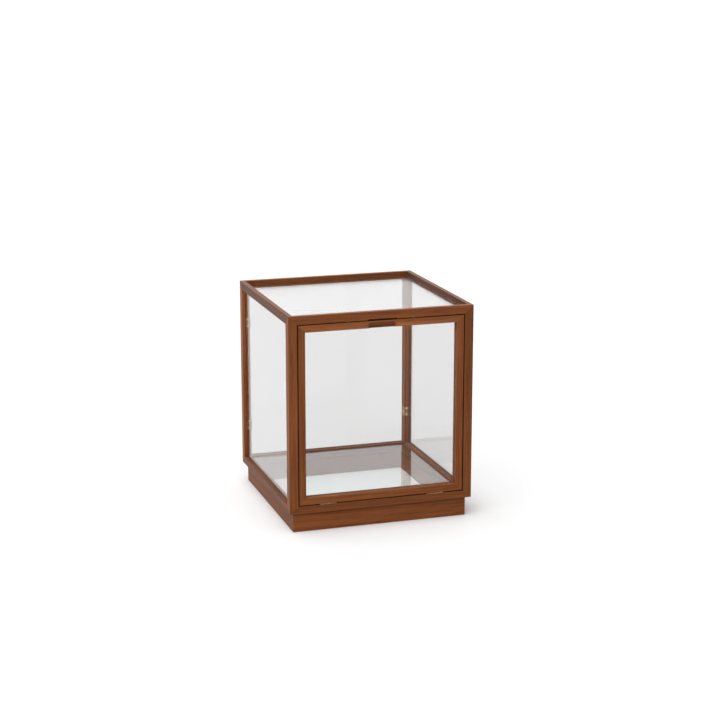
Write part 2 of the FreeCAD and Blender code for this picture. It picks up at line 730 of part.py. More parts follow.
def make_hinges():
    """Two butt hinges whose closed leaves fill the gap under the door."""
    half = S["hinge_length"] / 2
    inner = half - S["end_knuckle_length"]
    play = S["knuckle_play"]
    for side, name in SIDE_NAMES.items():
        middle = toward(side, hinge_middle)
        ends = [(middle - half, middle - inner), (middle + inner, middle + half)]
        centre = [(middle - inner + play, middle + inner - play)]
        end_room = [(middle - half - OVER, middle - inner + play),
                    (middle + inner - play, middle + half + OVER)]
        centre_room = [(middle - inner, middle + inner)]
        make_hinge_leaf(f"hinge_frame_leaf_{name}", middle, opening_bottom, frame_leaf_top,
                        ends, centre_room, frame_leaf_top, True)
        make_hinge_leaf(f"hinge_door_leaf_{name}", middle, door_leaf_bottom, door_bottom,
                        centre, end_room, door_leaf_bottom, False)
        make_hinge_pin(name, middle, half)


def make_hinge_pin(name, middle, half):
    """A pin through the knuckles with a flat head at each end."""
    head_length = S["pin_head_length"]
    along_x = FreeCAD.Rotation(FreeCAD.Vector(0, 1, 0), 90)
    pieces = [
        cylinder(f"pin_shank_{name}", S["pin_radius"], S["hinge_length"] + head_length * 2,
                 (middle - half - head_length, door_face, hinge_axis_z), along_x)]
    for start, end_name in ((middle - half - head_length, "start"), (middle + half, "end")):
        pieces.append(cylinder(f"pin_head_{name}_{end_name}", S["knuckle_radius"],
                               head_length, (start, door_face, hinge_axis_z), along_x))
    pin = doc.addObject("Part::MultiFuse", f"hinge_pin_{name}")
    pin.Label = f"hinge_pin_{name}"
    pin.Shapes = pieces
    pin.Refine = True
    NODES.append(pin)


def make_hinge_screws():
    """Two countersunk screws in each hinge leaf."""
    head = S["hinge_screw_head_radius"]
    foot = S["screw_radius"]
    facing_up = FreeCAD.Rotation()
    facing_down = FreeCAD.Rotation(FreeCAD.Vector(1, 0, 0), 180)
    for label, face, turn in (("hinge_screws_frame", frame_leaf_top, facing_up),
                              ("hinge_screws_door", door_leaf_bottom, facing_down)):
        group(label, [
            make_screw(f"{label}_{i}", head, foot, S["leaf_thickness"], True,
                       (x, hinge_screw_y, face), turn)
            for i, x in enumerate(hinge_screw_xs())
        ])


def make_magnets():
    """Disc magnets let into the rail and the door's top edge, which hold the door shut."""
    for label, low in (("catch_magnets_frame", opening_top - S["magnet_stand"]),
                       ("catch_magnets_door", door_top - magnet_sunk)):
        group(label, [
            cylinder(f"{label}_{name}", S["magnet_radius"], S["magnet_thickness"],
                     (toward(side, S["magnet_place"]), magnet_y, low))
            for side, name in SIDE_NAMES.items()
        ])


def door_section(outer, rebate, sight):
    """Front lip and rebate of the door's frame, as pairs of width and depth."""
    return [(outer, door_face), (sight, door_face), (sight, door_glass_face),
            (rebate, door_glass_face), (rebate, door_back), (outer, door_back)]


def cut_door_mitres(body, runs_along_x, inner, outer, low, high):
    """Plain mitres at both ends of a stile, rail or bead of the door."""
    inner_run, inner_width = inner
    outer_run, outer_width = outer
    for run_in, run_out in zip(inner_run, outer_run):
        points = mitre(run_in, inner_width, run_out, outer_width)
        if not runs_along_x:
            points = swapped(points)
        cut_prism(body, "XZ_Plane", points, low, high)


def make_door_frame():
    """Two stiles and two rails, mitred, with a rebate for the glass from behind."""
    low, high = door_face - OVER, door_back + OVER
    for side, name in SIDE_NAMES.items():
        section = mirrored(side, door_section(door_outer_x, rebate_x, sight_x))
        body = board(f"door_stile_{name}", "XY_Plane", section, door_bottom, door_top)
        cut_door_mitres(body, False, ((sight_bottom, sight_top), toward(side, sight_x)),
                        ((door_bottom, door_top), toward(side, door_outer_x)), low, high)
    for name, outer, rebate, sight in (("top", door_top, rebate_top, sight_top),
                                       ("bottom", door_bottom, rebate_bottom, sight_bottom)):
        section = swapped(door_section(outer, rebate, sight))
        body = board(f"door_rail_{name}", "YZ_Plane", section, -door_outer_x, door_outer_x)
        cut_door_mitres(body, True, ((-sight_x, sight_x), sight),
                        ((-door_outer_x, door_outer_x), outer), low, high)
        if name == "top":
            cut_finger_pull(body)
        else:
            cut_for_hinges(body, door_bottom - OVER, door_bottom + S["screw_length"])


def cut_finger_pull(body):
    """A cove with tapered ends under the rail's top edge, and the magnets' holes."""
    half = S["pull_length"] / 2
    full = half - S["pull_ramp"]
    tip = S["pull_tip_radius"]
    cove = [(-half, ZERO), (-half, tip), (-full, S["pull_radius"]),
            (full, S["pull_radius"]), (half, tip), (half, ZERO)]
    cut_turned(body, "XZ_Plane", door_face - S["pull_proud"], (ZERO, pull_z), cove, "H_Axis")
    centres = [(toward(side, S["magnet_place"]), magnet_y) for side in SIDE_NAMES]
    cut_round(body, "XY_Plane", centres, S["magnet_radius"] + S["magnet_play"],
              door_top - magnet_sunk, door_top + OVER)


def make_door_glazing():
    """The door's glass in its rebate, and four mitred beads that hold it from behind."""
    play = S["glass_play"]
    pane_x = rebate_x - play
    board("door_glass", "XZ_Plane", rectangle(-pane_x, pane_x, rebate_bottom, rebate_top - play),
          door_glass_face, bead_face)
    low, high = bead_face - OVER, door_back + OVER
    for side, name in SIDE_NAMES.items():
        x_range = between(side, sight_x, rebate_x)
        body = board(f"door_bead_{name}", "XY_Plane",
                     rectangle(*x_range, bead_face, door_back), rebate_bottom, rebate_top)
        cut_door_mitres(body, False, ((sight_bottom, sight_top), toward(side, sight_x)),
                        ((rebate_bottom, rebate_top), toward(side, rebate_x)), low, high)
    for name, sight, rebate, (low_z, high_z) in (
            ("top", sight_top, rebate_top, (sight_top, rebate_top)),
            ("bottom", sight_bottom, rebate_bottom, (rebate_bottom, sight_bottom))):
        body = board(f"door_bead_{name}", "YZ_Plane",
                     rectangle(bead_face, door_back, low_z, high_z), -rebate_x, rebate_x)
        cut_door_mitres(body, True, ((-sight_x, sight_x), sight),
                        ((-rebate_x, rebate_x), rebate), low, high)


def check_and_export():
    """Every object must have been made, and every node must be whole, before any is written."""
    doc.recompute()
    for thing in doc.Objects:
        if "Invalid" in thing.State or "Error" in thing.State:
            raise RuntimeError(f"{thing.Label} failed: {thing.State}")
    for node in NODES:
        shape = node.Shape
        if shape.isNull() or not shape.isValid() or not shape.Solids:
            raise RuntimeError(f"{node.Label} has no valid solid")
    os.makedirs("parts", exist_ok=True)
    for node in NODES:
        shape = node.Shape
        shape.exportStep(f"parts/{node.Label}.step")
        box = shape.BoundBox
        print(f"{node.Label:26s} solids {len(shape.Solids):2d}  volume {shape.Volume:10.1f}"
              f"  x {box.XMin:8.2f} {box.XMax:8.2f}  y {box.YMin:8.2f} {box.YMax:8.2f}"
              f"  z {box.ZMin:7.2f} {box.ZMax:7.2f}")
    print(len(NODES), "nodes")


make_plinth()
make_dowels()
make_bottom_rails()
make_posts()
make_top_rails()
make_floor_ledges()
make_panes()
make_door_stops()
make_pane_clips()
make_clip_screws()
make_hinges()
make_hinge_screws()
make_magnets()
make_door_frame()
make_door_glazing()
check_and_export()
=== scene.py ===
"""Glass display cabinet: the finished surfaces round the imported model.

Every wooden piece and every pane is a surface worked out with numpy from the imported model's
own places. The brass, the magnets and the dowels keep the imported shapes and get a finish.
Metres: +Z is up and the door faces -Y.
"""

from math import acos, asin, pi, radians

import bmesh
import bpy
import numpy as np
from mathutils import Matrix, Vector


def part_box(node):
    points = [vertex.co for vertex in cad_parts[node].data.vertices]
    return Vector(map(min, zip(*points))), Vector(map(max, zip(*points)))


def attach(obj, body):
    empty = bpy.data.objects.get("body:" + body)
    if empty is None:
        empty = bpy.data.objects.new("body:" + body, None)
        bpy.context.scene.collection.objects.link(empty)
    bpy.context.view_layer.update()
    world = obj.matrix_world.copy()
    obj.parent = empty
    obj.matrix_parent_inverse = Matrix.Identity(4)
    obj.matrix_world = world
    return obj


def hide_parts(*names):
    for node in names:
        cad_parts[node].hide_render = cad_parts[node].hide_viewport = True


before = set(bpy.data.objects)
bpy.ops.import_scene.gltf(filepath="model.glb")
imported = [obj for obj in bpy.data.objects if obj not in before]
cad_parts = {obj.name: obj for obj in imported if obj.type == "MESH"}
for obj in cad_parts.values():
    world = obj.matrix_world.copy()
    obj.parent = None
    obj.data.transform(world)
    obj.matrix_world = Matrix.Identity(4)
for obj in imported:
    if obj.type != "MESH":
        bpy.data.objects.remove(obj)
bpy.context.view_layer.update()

LEFT, RIGHT = -1, 1
FRONT, REAR = -1, 1
SIDES = {LEFT: "left", RIGHT: "right"}
ENDS = {FRONT: "front", REAR: "rear"}
X, Y, Z = 0, 1, 2

# Fine sizes of the finished pieces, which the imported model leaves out
EASE = 0.0009          # rounding of the edges that a hand meets
SLIGHT_EASE = 0.0004   # rounding of the edges beside a pane or inside the cabinet
SHARP = 0.0
EDGE_STEPS = 6         # steps in each rounded edge
PULL_STEPS = 18        # points round the cove of the finger pull
RAMP_STATIONS = 7      # sections through each of its tapered ends
SEAM = 0.00004         # half of the hairline in a glued mitre
PANE_ARRIS = 0.0004    # bevel ground along the edges of a pane
MERGE = 1e-7           # points nearer to each other than this are one

# Plays, the finger pull and the notch above it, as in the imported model
PANE_PLAY = 0.0005     # edge of a pane to the wood round it
GROOVE_PLAY = 0.00015  # face of a pane to the side of its groove
KNUCKLE_PLAY = 0.0003  # knuckle to the wood that is hollowed round it
PULL_HALF = 0.031      # middle of the door to either end of the pull
PULL_RAMP = 0.006      # length of each tapered end
PULL_RADIUS = 0.007
PULL_TIP_RADIUS = 0.002
PULL_DROP = 0.0095     # door's top edge down to the middle of the cove
PULL_PROUD = 0.0005    # middle of the cove in front of the door's face
NOTCH_RISE = 0.002
NOTCH_DEPTH = 0.008

# Where the wood is dull, where it has painted shade, and where its rim has painted light
NEAR = 0.0001          # how close to a plane still counts as on it
GAP_START = 0.0001     # how far back from the front faces the wood of the door gap starts
GAP_EDGE = 0.0009      # how far onto the rounded edges beside the gap it reaches
RIM_BAND = 0.006       # top of the rim whose upward faces get painted light
UNDER_RAIL_SHADE_BAND = 0.008    # top of the plinth that gets painted shade under the rails
PULL_SHADE = 0.55      # share of its lightness that the pull's hollow loses at most to painted shade
PULL_SHADE_START = 0.4    # share of that painted shade at the top of the hollow
PULL_SHADE_DEPTH = 0.004  # how deep the hollow is where the painted shade is full

# Places read from the imported model
POST_LOW, POST_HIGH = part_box("post_front_right")
TOP_RAIL_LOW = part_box("top_rail_right")[0]
BOTTOM_RAIL_LOW, BOTTOM_RAIL_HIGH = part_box("bottom_rail_right")
TOP_GLASS_LOW, TOP_GLASS_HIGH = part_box("top_glass")
SIDE_GLASS_LOW, SIDE_GLASS_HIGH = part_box("side_glass_right")
PLINTH_LOW, PLINTH_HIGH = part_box("plinth_right")
STILE_LOW, STILE_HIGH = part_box("door_stile_right")
DOOR_GLASS_LOW, DOOR_GLASS_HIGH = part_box("door_glass")
BEAD_LOW, BEAD_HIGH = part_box("door_bead_right")
PIN_LOW, PIN_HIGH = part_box("hinge_pin_right")

HALF = POST_HIGH.x                     # middle of the cabinet to its outside
INNER = POST_LOW.x                     # middle to the inner faces of the posts
RIM_INNER = TOP_GLASS_HIGH.x + PANE_PLAY
LEDGE_INNER = TOP_RAIL_LOW.x
TOP = POST_HIGH.z
OPENING_TOP = TOP_RAIL_LOW.z
OPENING_BOTTOM = BOTTOM_RAIL_HIGH.z
FLOOR_LEVEL = BOTTOM_RAIL_LOW.z
LEDGE_TOP = TOP_GLASS_LOW.z
GROOVE_NEAR = SIDE_GLASS_LOW.x - GROOVE_PLAY
GROOVE_FAR = SIDE_GLASS_HIGH.x + GROOVE_PLAY
GROOVE_TOP = SIDE_GLASS_HIGH.z + PANE_PLAY
GROOVE_BOTTOM = SIDE_GLASS_LOW.z
GROOVE_END = SIDE_GLASS_HIGH.y + PANE_PLAY
DOOR_OUTER = STILE_HIGH.x              # middle to the sides of the door
SIGHT = STILE_LOW.x                    # middle to the edge of the door's clear glass
REBATE = BEAD_HIGH.x
DOOR_BOTTOM, DOOR_TOP = STILE_LOW.z, STILE_HIGH.z
MEMBER_WIDTH = DOOR_OUTER - SIGHT
SIGHT_BOTTOM, SIGHT_TOP = DOOR_BOTTOM + MEMBER_WIDTH, DOOR_TOP - MEMBER_WIDTH
REBATE_BOTTOM, REBATE_TOP = BEAD_LOW.z, BEAD_HIGH.z
GLASS_FACE = -DOOR_GLASS_LOW.y         # forward of the middle: the front of the door's glass
BEAD_FACE = -DOOR_GLASS_HIGH.y
DOOR_BACK = -BEAD_HIGH.y
KNUCKLE_ROOM = (PIN_HIGH.z - PIN_LOW.z) / 2 + KNUCKLE_PLAY
HINGE_AXIS = (PIN_HIGH.z + PIN_LOW.z) / 2
HINGE_NEAR, HINGE_FAR = PIN_LOW.x - KNUCKLE_PLAY, PIN_HIGH.x + KNUCKLE_PLAY


# Colours

def grey(level):
    return (level, level, level, 1)


WOOD_DARK = (0.136, 0.039, 0.0125, 1)
WOOD_LIGHT = (0.235, 0.072, 0.021, 1)
WOOD_RING = (0.099, 0.027, 0.0095, 1)
WOOD_STREAK = (0.29, 0.103, 0.036, 1)
WOOD_PORE = (0.043, 0.013, 0.0055, 1)
# Paler rounded edges: partly wear, partly a painted highlight
WOOD_EDGE_WEAR_AND_HIGHLIGHT = (0.33, 0.13, 0.055, 1)
# Painted light on the faces that look up from the rim
WOOD_RIM_TOP_LIGHT = (0.46, 0.25, 0.155, 1)
# Painted shade on the top of the plinth under the rails
WOOD_UNDER_RAIL_SHADE = (0.03, 0.01, 0.005, 1)
# Painted shade: the darker wood in the gap round the door
GAP_SHADE_DARK = (0.05, 0.016, 0.006, 1)
GAP_SHADE_LIGHT = (0.085, 0.027, 0.009, 1)
DOWEL_DARK = (0.36, 0.22, 0.1, 1)
DOWEL_LIGHT = (0.56, 0.38, 0.2, 1)
NICKEL_DARK = (0.5, 0.5, 0.49, 1)
NICKEL_LIGHT = (0.68, 0.67, 0.64, 1)

# Brass where it is bright, and where it has dulled
SCREW_BRASS = (0.92, 0.63, 0.36, 1), (0.72, 0.46, 0.24, 1)
CLIP_BRASS = (0.44, 0.25, 0.12, 1), (0.22, 0.115, 0.05, 1)
HINGE_BRASS = (0.38, 0.21, 0.105, 1), (0.12, 0.056, 0.025, 1)

# Tints of what is seen through the panes and their ground edges
DOOR_TINT = grey(0.885)
WALL_TINT = grey(0.82)
TOP_TINT = grey(0.9)
FLOOR_TINT = (0.93, 1.0, 0.99, 1)
GROUND_TINT = (0.7, 0.82, 0.78, 1)

# Light that passes upright panes, level ones and ground edges, to fall on other pieces
THROUGH_UPRIGHT = grey(0.96)
THROUGH_LEVEL = grey(1.0)
THROUGH_GROUND = (0.8, 0.87, 0.85, 1)

# How much of each colour shows on the oiled wood at most
RING_SHARE = 0.4
STREAK_SHARE = 0.5
PORE_SHARE = 0.55
# edge wear with a painted highlight
EDGE_WEAR_AND_HIGHLIGHT_SHARE = 0.45
# painted light on the rim's upward faces
RIM_TOP_LIGHT_SHARE = 0.35
# painted shade on the plinth under the rails
UNDER_RAIL_SHADE_SHARE = 0.9

# How often a pattern of the wood comes in a metre: along the board, and both ways across
WANDER = (5, 26, 26)
RINGS = (1.1, 44, 37)
STREAKS = (16, 420, 420)
PORES = (330, 4300, 4300)

# How often a pattern of the other finishes comes in a metre of X, Y and Z
DOWEL_STREAKS = (900, 900, 40)
SMEARS = (9, 9, 5)
BRASS_PATCHES = (160, 160, 160)
BRASS_BRUSHING = (300, 5000, 5000)
NICKEL_SCRATCHES = (700, 4000, 700)
FLOOR_PATCHES = (0.8, 0.8, 0.8)

# Least and most roughness of the finishes
OILED_ROUGHNESS = 0.42, 0.56
GAP_ROUGHNESS = 0.8, 0.95
DOWEL_ROUGHNESS = 0.6, 0.75
BRASS_ROUGHNESS = 0.24, 0.38
NICKEL_ROUGHNESS = 0.16, 0.3
PANE_ROUGHNESS = 0.0, 0.003
GROUND_ROUGHNESS = 0.3, 0.45
FLOOR_ROUGHNESS = 0.7, 0.8
EDGE_POLISH = 0.08     # how much less rough the wood's rubbed edges are
BRUSHING = -0.04, 0.06  # what the brushing adds to the brass's roughness

WOOD_SHINE = 0.05      # specular level of the wood, which is oiled and not varnished
NOISE_SPAN = 0.3, 0.7  # most of a noise lies between these


# Node trees

# The mix node's sockets by number, because their names aren't unique
MIX_SHARE = 0
MIX_LOW_NUMBER, MIX_HIGH_NUMBER, MIXED_NUMBER = 2, 3, 0
MIX_LOW_COLOUR, MIX_HIGH_COLOUR, MIXED_COLOUR = 6, 7, 2


def add(tree, kind, inputs=None, **settings):
    """Adds one node. inputs holds sockets to link or values to set, by name or number."""
    node = tree.nodes.new(kind)
    for name, value in settings.items():
        setattr(node, name, value)
    for name, value in (inputs or {}).items():
        if isinstance(value, bpy.types.NodeSocket):
            tree.links.new(value, node.inputs[name])
        else:
            node.inputs[name].default_value = value
    return node


def worked(tree, operation, *values):
    """A number worked out from others by one step of arithmetic."""
    return add(tree, "ShaderNodeMath", dict(enumerate(values)), operation=operation).outputs[0]


def blended(tree, share, low, high):
    """Colour low turning to colour high as share goes from 0 to 1."""
    sockets = {MIX_SHARE: share, MIX_LOW_COLOUR: low, MIX_HIGH_COLOUR: high}
    return add(tree, "ShaderNodeMix", sockets, data_type="RGBA").outputs[MIXED_COLOUR]


def ranged(tree, value, low, high, to_low, to_high):
    """value between low and high taken to the range from to_low to to_high."""
    return add(tree, "ShaderNodeMapRange",
               {"Value": value, "From Min": low, "From Max": high,
                "To Min": to_low, "To Max": to_high}).outputs["Result"]


def spread(tree, noise, to_low=0.0, to_high=1.0):
    """A noise taken to the range from to_low to to_high."""
    return ranged(tree, noise, *NOISE_SPAN, to_low, to_high)


def own(tree, name, part="Fac"):
    """An attribute that the points of the piece carry."""
    return add(tree, "ShaderNodeAttribute", attribute_name=name).outputs[part]


def coordinates(tree, part="Object"):
    """The place on a piece, the way that it faces (Normal), or a direction (Generated)."""
    return add(tree, "ShaderNodeTexCoord").outputs[part]


def z_of(tree, vector):
    """The Z of a vector."""
    return add(tree, "ShaderNodeSeparateXYZ", {"Vector": vector}).outputs["Z"]


def stretched(tree, place, scale):
    return add(tree, "ShaderNodeMapping", {"Vector": place, "Scale": scale}).outputs["Vector"]


def cloudy(tree, place, scale, detail, roughness=0.5, distortion=0.0):
    """Soft noise that comes scale times in a metre, on each axis of place."""
    return add(tree, "ShaderNodeTexNoise",
               {"Vector": stretched(tree, place, scale), "Scale": 1.0, "Detail": detail,
                "Roughness": roughness, "Distortion": distortion}).outputs["Fac"]


def bumped(tree, height, strength, distance):
    """The surface's direction where height raises it, by up to about distance in metres."""
    return add(tree, "ShaderNodeBump", {"Height": height, "Strength": strength,
                                        "Distance": distance}).outputs["Normal"]


def new_finish(name):
    """A material with an empty tree and its output node."""
    material = bpy.data.materials.new(name)
    material.use_nodes = True
    tree = material.node_tree
    tree.nodes.clear()
    return material, tree, add(tree, "ShaderNodeOutputMaterial")


def shade(tree, output, inputs):
    """Covers a piece in one Principled shader with these inputs."""
    surface = add(tree, "ShaderNodeBsdfPrincipled", inputs)
    tree.links.new(surface.outputs["BSDF"], output.inputs["Surface"])


# Finishes

def oiled_wood():
    """Reddish-brown hardwood under a thin oil: rings, streaks and short dark pores.

    It reads the board's own grain attribute, whose first part runs along the board. The
    faces that look up from the rim get painted light, rounded edges are paler from wear and
    a painted highlight, and the top of the plinth gets painted shade under the rails.
    """
    material, tree, output = new_finish("oiled_hardwood")
    place = own(tree, "grain", "Vector")
    edge = own(tree, "edge")
    wander = cloudy(tree, place, WANDER, detail=3)
    rings = add(tree, "ShaderNodeTexWave",
                {"Vector": stretched(tree, place, RINGS), "Scale": 1.0,
                 "Distortion": 3.2, "Detail": 3.0, "Detail Scale": 0.7,
                 "Detail Roughness": 0.6},
                wave_type="BANDS", bands_direction="DIAGONAL").outputs["Fac"]
    streaks = cloudy(tree, place, STREAKS, detail=5, roughness=0.62, distortion=0.4)
    pores = cloudy(tree, place, PORES, detail=2)

    ground = blended(tree, spread(tree, wander), WOOD_DARK, WOOD_LIGHT)
    ringed = blended(tree, ranged(tree, rings, 0.45, 1.0, 0.0, RING_SHARE), ground, WOOD_RING)
    streaked = blended(tree, ranged(tree, streaks, 0.35, 0.68, 0.0, STREAK_SHARE),
                       ringed, WOOD_STREAK)
    pored = blended(tree, ranged(tree, pores, 0.6, 0.72, 0.0, PORE_SHARE), streaked, WOOD_PORE)
    # Paler rounded edges: partly wear, partly a painted highlight
    worn_and_highlit = blended(tree, ranged(tree, edge, 0.0, 1.0, 0.0, EDGE_WEAR_AND_HIGHLIGHT_SHARE), pored, WOOD_EDGE_WEAR_AND_HIGHLIGHT)
    toned = add(tree, "ShaderNodeHueSaturation",
                {"Color": worn_and_highlit, "Value": own(tree, "tone")}).outputs["Color"]

    height = z_of(tree, coordinates(tree))
    # Painted light: the faces that look up from the top of the rim are lightened
    faces_up = ranged(tree, z_of(tree, coordinates(tree, "Normal")), 0.6, 1.0, 0.0, 1.0)
    on_rim = ranged(tree, height, TOP - RIM_BAND, TOP - RIM_BAND / 2, 0.0, RIM_TOP_LIGHT_SHARE)
    lit_rim_top = blended(tree, worked(tree, "MULTIPLY", faces_up, on_rim), toned, WOOD_RIM_TOP_LIGHT)
    # Painted shade: the top of the plinth is darkened under the rails
    on_plinth = worked(tree, "LESS_THAN", height, FLOOR_LEVEL - NEAR)
    under_rail_shade = ranged(tree, height, FLOOR_LEVEL - UNDER_RAIL_SHADE_BAND, FLOOR_LEVEL, 0.0, UNDER_RAIL_SHADE_SHARE)
    shaded_under_rails = blended(tree, worked(tree, "MULTIPLY", under_rail_shade, on_plinth), lit_rim_top, WOOD_UNDER_RAIL_SHADE)

    roughness = worked(tree, "SUBTRACT", spread(tree, streaks, *OILED_ROUGHNESS),
                       ranged(tree, edge, 0.0, 1.0, 0.0, EDGE_POLISH))
    relief = worked(tree, "ADD", streaks, ranged(tree, pores, 0.58, 0.72, 0.0, -1.0))
    shade(tree, output, {"Base Color": shaded_under_rails, "Roughness": roughness,
                         "Normal": bumped(tree, relief, strength=0.35, distance=0.00012),
                         "Specular IOR Level": WOOD_SHINE,
                         "Sheen Weight": 0.1, "Sheen Roughness": 0.35})
    return material


def shaded_gap_wood():
    """Wood in the gap round the door: darker by painted shade, and dull."""
    material, tree, output = new_finish("dull_painted_shade_gap_wood")
    streaks = cloudy(tree, own(tree, "grain", "Vector"), STREAKS, detail=4, roughness=0.6)
    shade(tree, output, {"Base Color": blended(tree, spread(tree, streaks), GAP_SHADE_DARK, GAP_SHADE_LIGHT),
                         "Roughness": spread(tree, streaks, *GAP_ROUGHNESS),
                         "Normal": bumped(tree, streaks, strength=0.3, distance=0.0001),
                         "Specular IOR Level": WOOD_SHINE})
    return material


def bare_wood():
    """Pale dowel wood with fine straight grain along Z."""
    material, tree, output = new_finish("bare_dowel_wood")
    streaks = cloudy(tree, coordinates(tree), DOWEL_STREAKS, detail=4, roughness=0.6)
    colour = blended(tree, spread(tree, streaks), DOWEL_DARK, DOWEL_LIGHT)
    shade(tree, output, {"Base Color": colour,
                         "Roughness": spread(tree, streaks, *DOWEL_ROUGHNESS),
                         "Normal": bumped(tree, streaks, strength=0.3, distance=0.0001)})
    return material


def pane_glass(name, tint, lamp_through, roughness=PANE_ROUGHNESS, bend=1.25, matt_film=0.0):
    """Plain glass, whose polish varies with faint smears.

    bend is its index of refraction, which sets how much it mirrors. matt_film is the share
    of a film against glare, which blurs what the pane mirrors and leaves what is seen
    through it sharp.

    The light that falls on other pieces, straight from a lamp or from a matt surface, meets
    a Transparent shader of the colour lamp_through instead, so that it reaches the inside.
    """
    material, tree, output = new_finish(name)
    smears = cloudy(tree, coordinates(tree), SMEARS, detail=3, roughness=0.55)
    solid = add(tree, "ShaderNodeBsdfPrincipled",
                {"Base Color": tint, "IOR": bend, "Transmission Weight": 1.0,
                 "Coat Weight": matt_film, "Coat Roughness": 0.3, "Coat IOR": 1.5,
                 "Roughness": ranged(tree, smears, 0.45, 0.75, *roughness)})
    lamp_light = add(tree, "ShaderNodeBsdfTransparent", {"Color": lamp_through})
    path = add(tree, "ShaderNodeLightPath")
    surface = solid.outputs["BSDF"]
    for ray in ("Is Shadow Ray", "Is Diffuse Ray"):
        surface = add(tree, "ShaderNodeMixShader",
                      {0: path.outputs[ray], 1: surface,
                       2: lamp_light.outputs["BSDF"]}).outputs["Shader"]
    tree.links.new(surface, output.inputs["Surface"])
    return material


def satin_brass(name, bright, dull):
    """Brass with a fine brushed grain, dulled in soft patches."""
    material, tree, output = new_finish(name)
    place = coordinates(tree)
    patches = cloudy(tree, place, BRASS_PATCHES, detail=4, roughness=0.6)
    brushed = cloudy(tree, place, BRASS_BRUSHING, detail=3)
    colour = blended(tree, ranged(tree, patches, 0.35, 0.7, 0.0, 1.0), bright, dull)
    roughness = worked(tree, "ADD", spread(tree, patches, *BRASS_ROUGHNESS),
                       spread(tree, brushed, *BRUSHING))
    shade(tree, output, {"Base Color": colour, "Metallic": 0.75, "Roughness": roughness,
                         "Normal": bumped(tree, brushed, strength=0.25, distance=0.00005)})
    return material


def nickel_plate():
    """Bright nickel with rubbed scratches across it."""
    material, tree, output = new_finish("nickel_plate")
    rubbed = cloudy(tree, coordinates(tree), NICKEL_SCRATCHES, detail=3, roughness=0.6)
    colour = blended(tree, spread(tree, rubbed), NICKEL_DARK, NICKEL_LIGHT)
    shade(tree, output, {"Base Color": colour, "Metallic": 1.0,
                         "Roughness": spread(tree, rubbed, *NICKEL_ROUGHNESS),
                         "Normal": bumped(tree, rubbed, strength=0.15, distance=0.00004)})
    return material


def studio_floor():
    """Plain pale floor, very slightly uneven in tone and polish."""
    material, tree, output = new_finish("studio_floor")
    uneven = cloudy(tree, coordinates(tree), FLOOR_PATCHES, detail=2)
    shade(tree, output, {"Base Color": blended(tree, spread(tree, uneven), grey(0.9), grey(0.92)),
                         "Roughness": spread(tree, uneven, *FLOOR_ROUGHNESS),
                         "Specular IOR Level": 0.2})
    return material


OILED_WOOD = oiled_wood()
GAP_SHADE_WOOD = shaded_gap_wood()
DOOR_GLASS = pane_glass("door_pane_glass", DOOR_TINT, THROUGH_UPRIGHT)
WALL_GLASS = pane_glass("wall_pane_glass", WALL_TINT, THROUGH_UPRIGHT)
FLOOR_GLASS = pane_glass("floor_pane_glass", FLOOR_TINT, THROUGH_LEVEL, bend=1.8)
TOP_GLASS = pane_glass("top_pane_glass", TOP_TINT, THROUGH_LEVEL, bend=1.08, matt_film=1.0)
GROUND_EDGE = pane_glass("ground_pane_edge", GROUND_TINT, THROUGH_GROUND, GROUND_ROUGHNESS)


# Surfaces

def eased(corners):
    """A section whose right-angled corners are rounded.

    corners are (a, b, ease) in order round the section. At a corner P, reached along unit
    vector u and left along unit vector v, the rounding of radius r is
    P - r u + r v + r (u sin t - v cos t), for t from 0 to a quarter turn.
    """
    corners = np.asarray(corners, float)
    places, ease = corners[:, :2], corners[:, 2]
    arriving = places - np.roll(places, 1, axis=0)
    leaving = np.roll(places, -1, axis=0) - places
    least = np.finfo(float).tiny   # where two corners share a place, nothing is divided by 0
    u = (arriving / np.maximum(np.linalg.norm(arriving, axis=1), least)[:, None])[:, None]
    v = (leaving / np.maximum(np.linalg.norm(leaving, axis=1), least)[:, None])[:, None]
    r = ease[:, None, None]
    t = np.linspace(0, pi / 2, EDGE_STEPS + 1)[None, :, None]
    rounded = places[:, None] - r * u + r * v + r * (u * np.sin(t) - v * np.cos(t))
    return rounded.reshape(-1, 2)


def at_corner(corner, step=EDGE_STEPS // 2):
    """Number of a point in an eased section: by default the middle of a rounded corner."""
    return corner * (EDGE_STEPS + 1) + step


def around(count, start, stop):
    """Numbers of the points met on the way round a section from start to stop."""
    length = (stop - start) % count
    return [(start + i) % count for i in range(length + 1)]


def finish_mesh(name, points, faces, smooth, attributes=None):
    """A closed mesh whose faces point outwards, with its named point attributes."""
    mesh = bpy.data.meshes.new(name)
    mesh.from_pydata(points.tolist(), [], faces)
    mesh.polygons.foreach_set("use_smooth", smooth)
    for label, values in (attributes or {}).items():
        kind, field = ("FLOAT_VECTOR", "vector") if values.ndim == 2 else ("FLOAT", "value")
        layer = mesh.attributes.new(label, kind, "POINT")
        layer.data.foreach_set(field, np.ascontiguousarray(values, np.float32).ravel())
    whole = bmesh.new()
    whole.from_mesh(mesh)
    bmesh.ops.remove_doubles(whole, verts=whole.verts, dist=MERGE)
    bmesh.ops.recalc_face_normals(whole, faces=whole.faces)
    whole.to_mesh(mesh)
    whole.free()
    piece = bpy.data.objects.new(name, mesh)
    bpy.context.collection.objects.link(piece)
    return piece


def per_face(mesh, measure, parts=1):
    """A measure of every face, such as its area or its middle, one row for each."""
    values = np.empty(parts * len(mesh.polygons), np.float32)
    mesh.polygons.foreach_get(measure, values)
    return values.reshape(-1, parts)


def side_faces(stations, count):
    """Faces that join points i and i + 1 of stations k and k + 1, going round."""
    number = np.arange(stations * count).reshape(stations, count)
    beside = np.roll(number, -1, axis=1)
    sides = np.stack([number[:-1], beside[:-1], beside[1:], number[1:]], axis=-1)
    return sides.reshape(-1, 4).tolist()


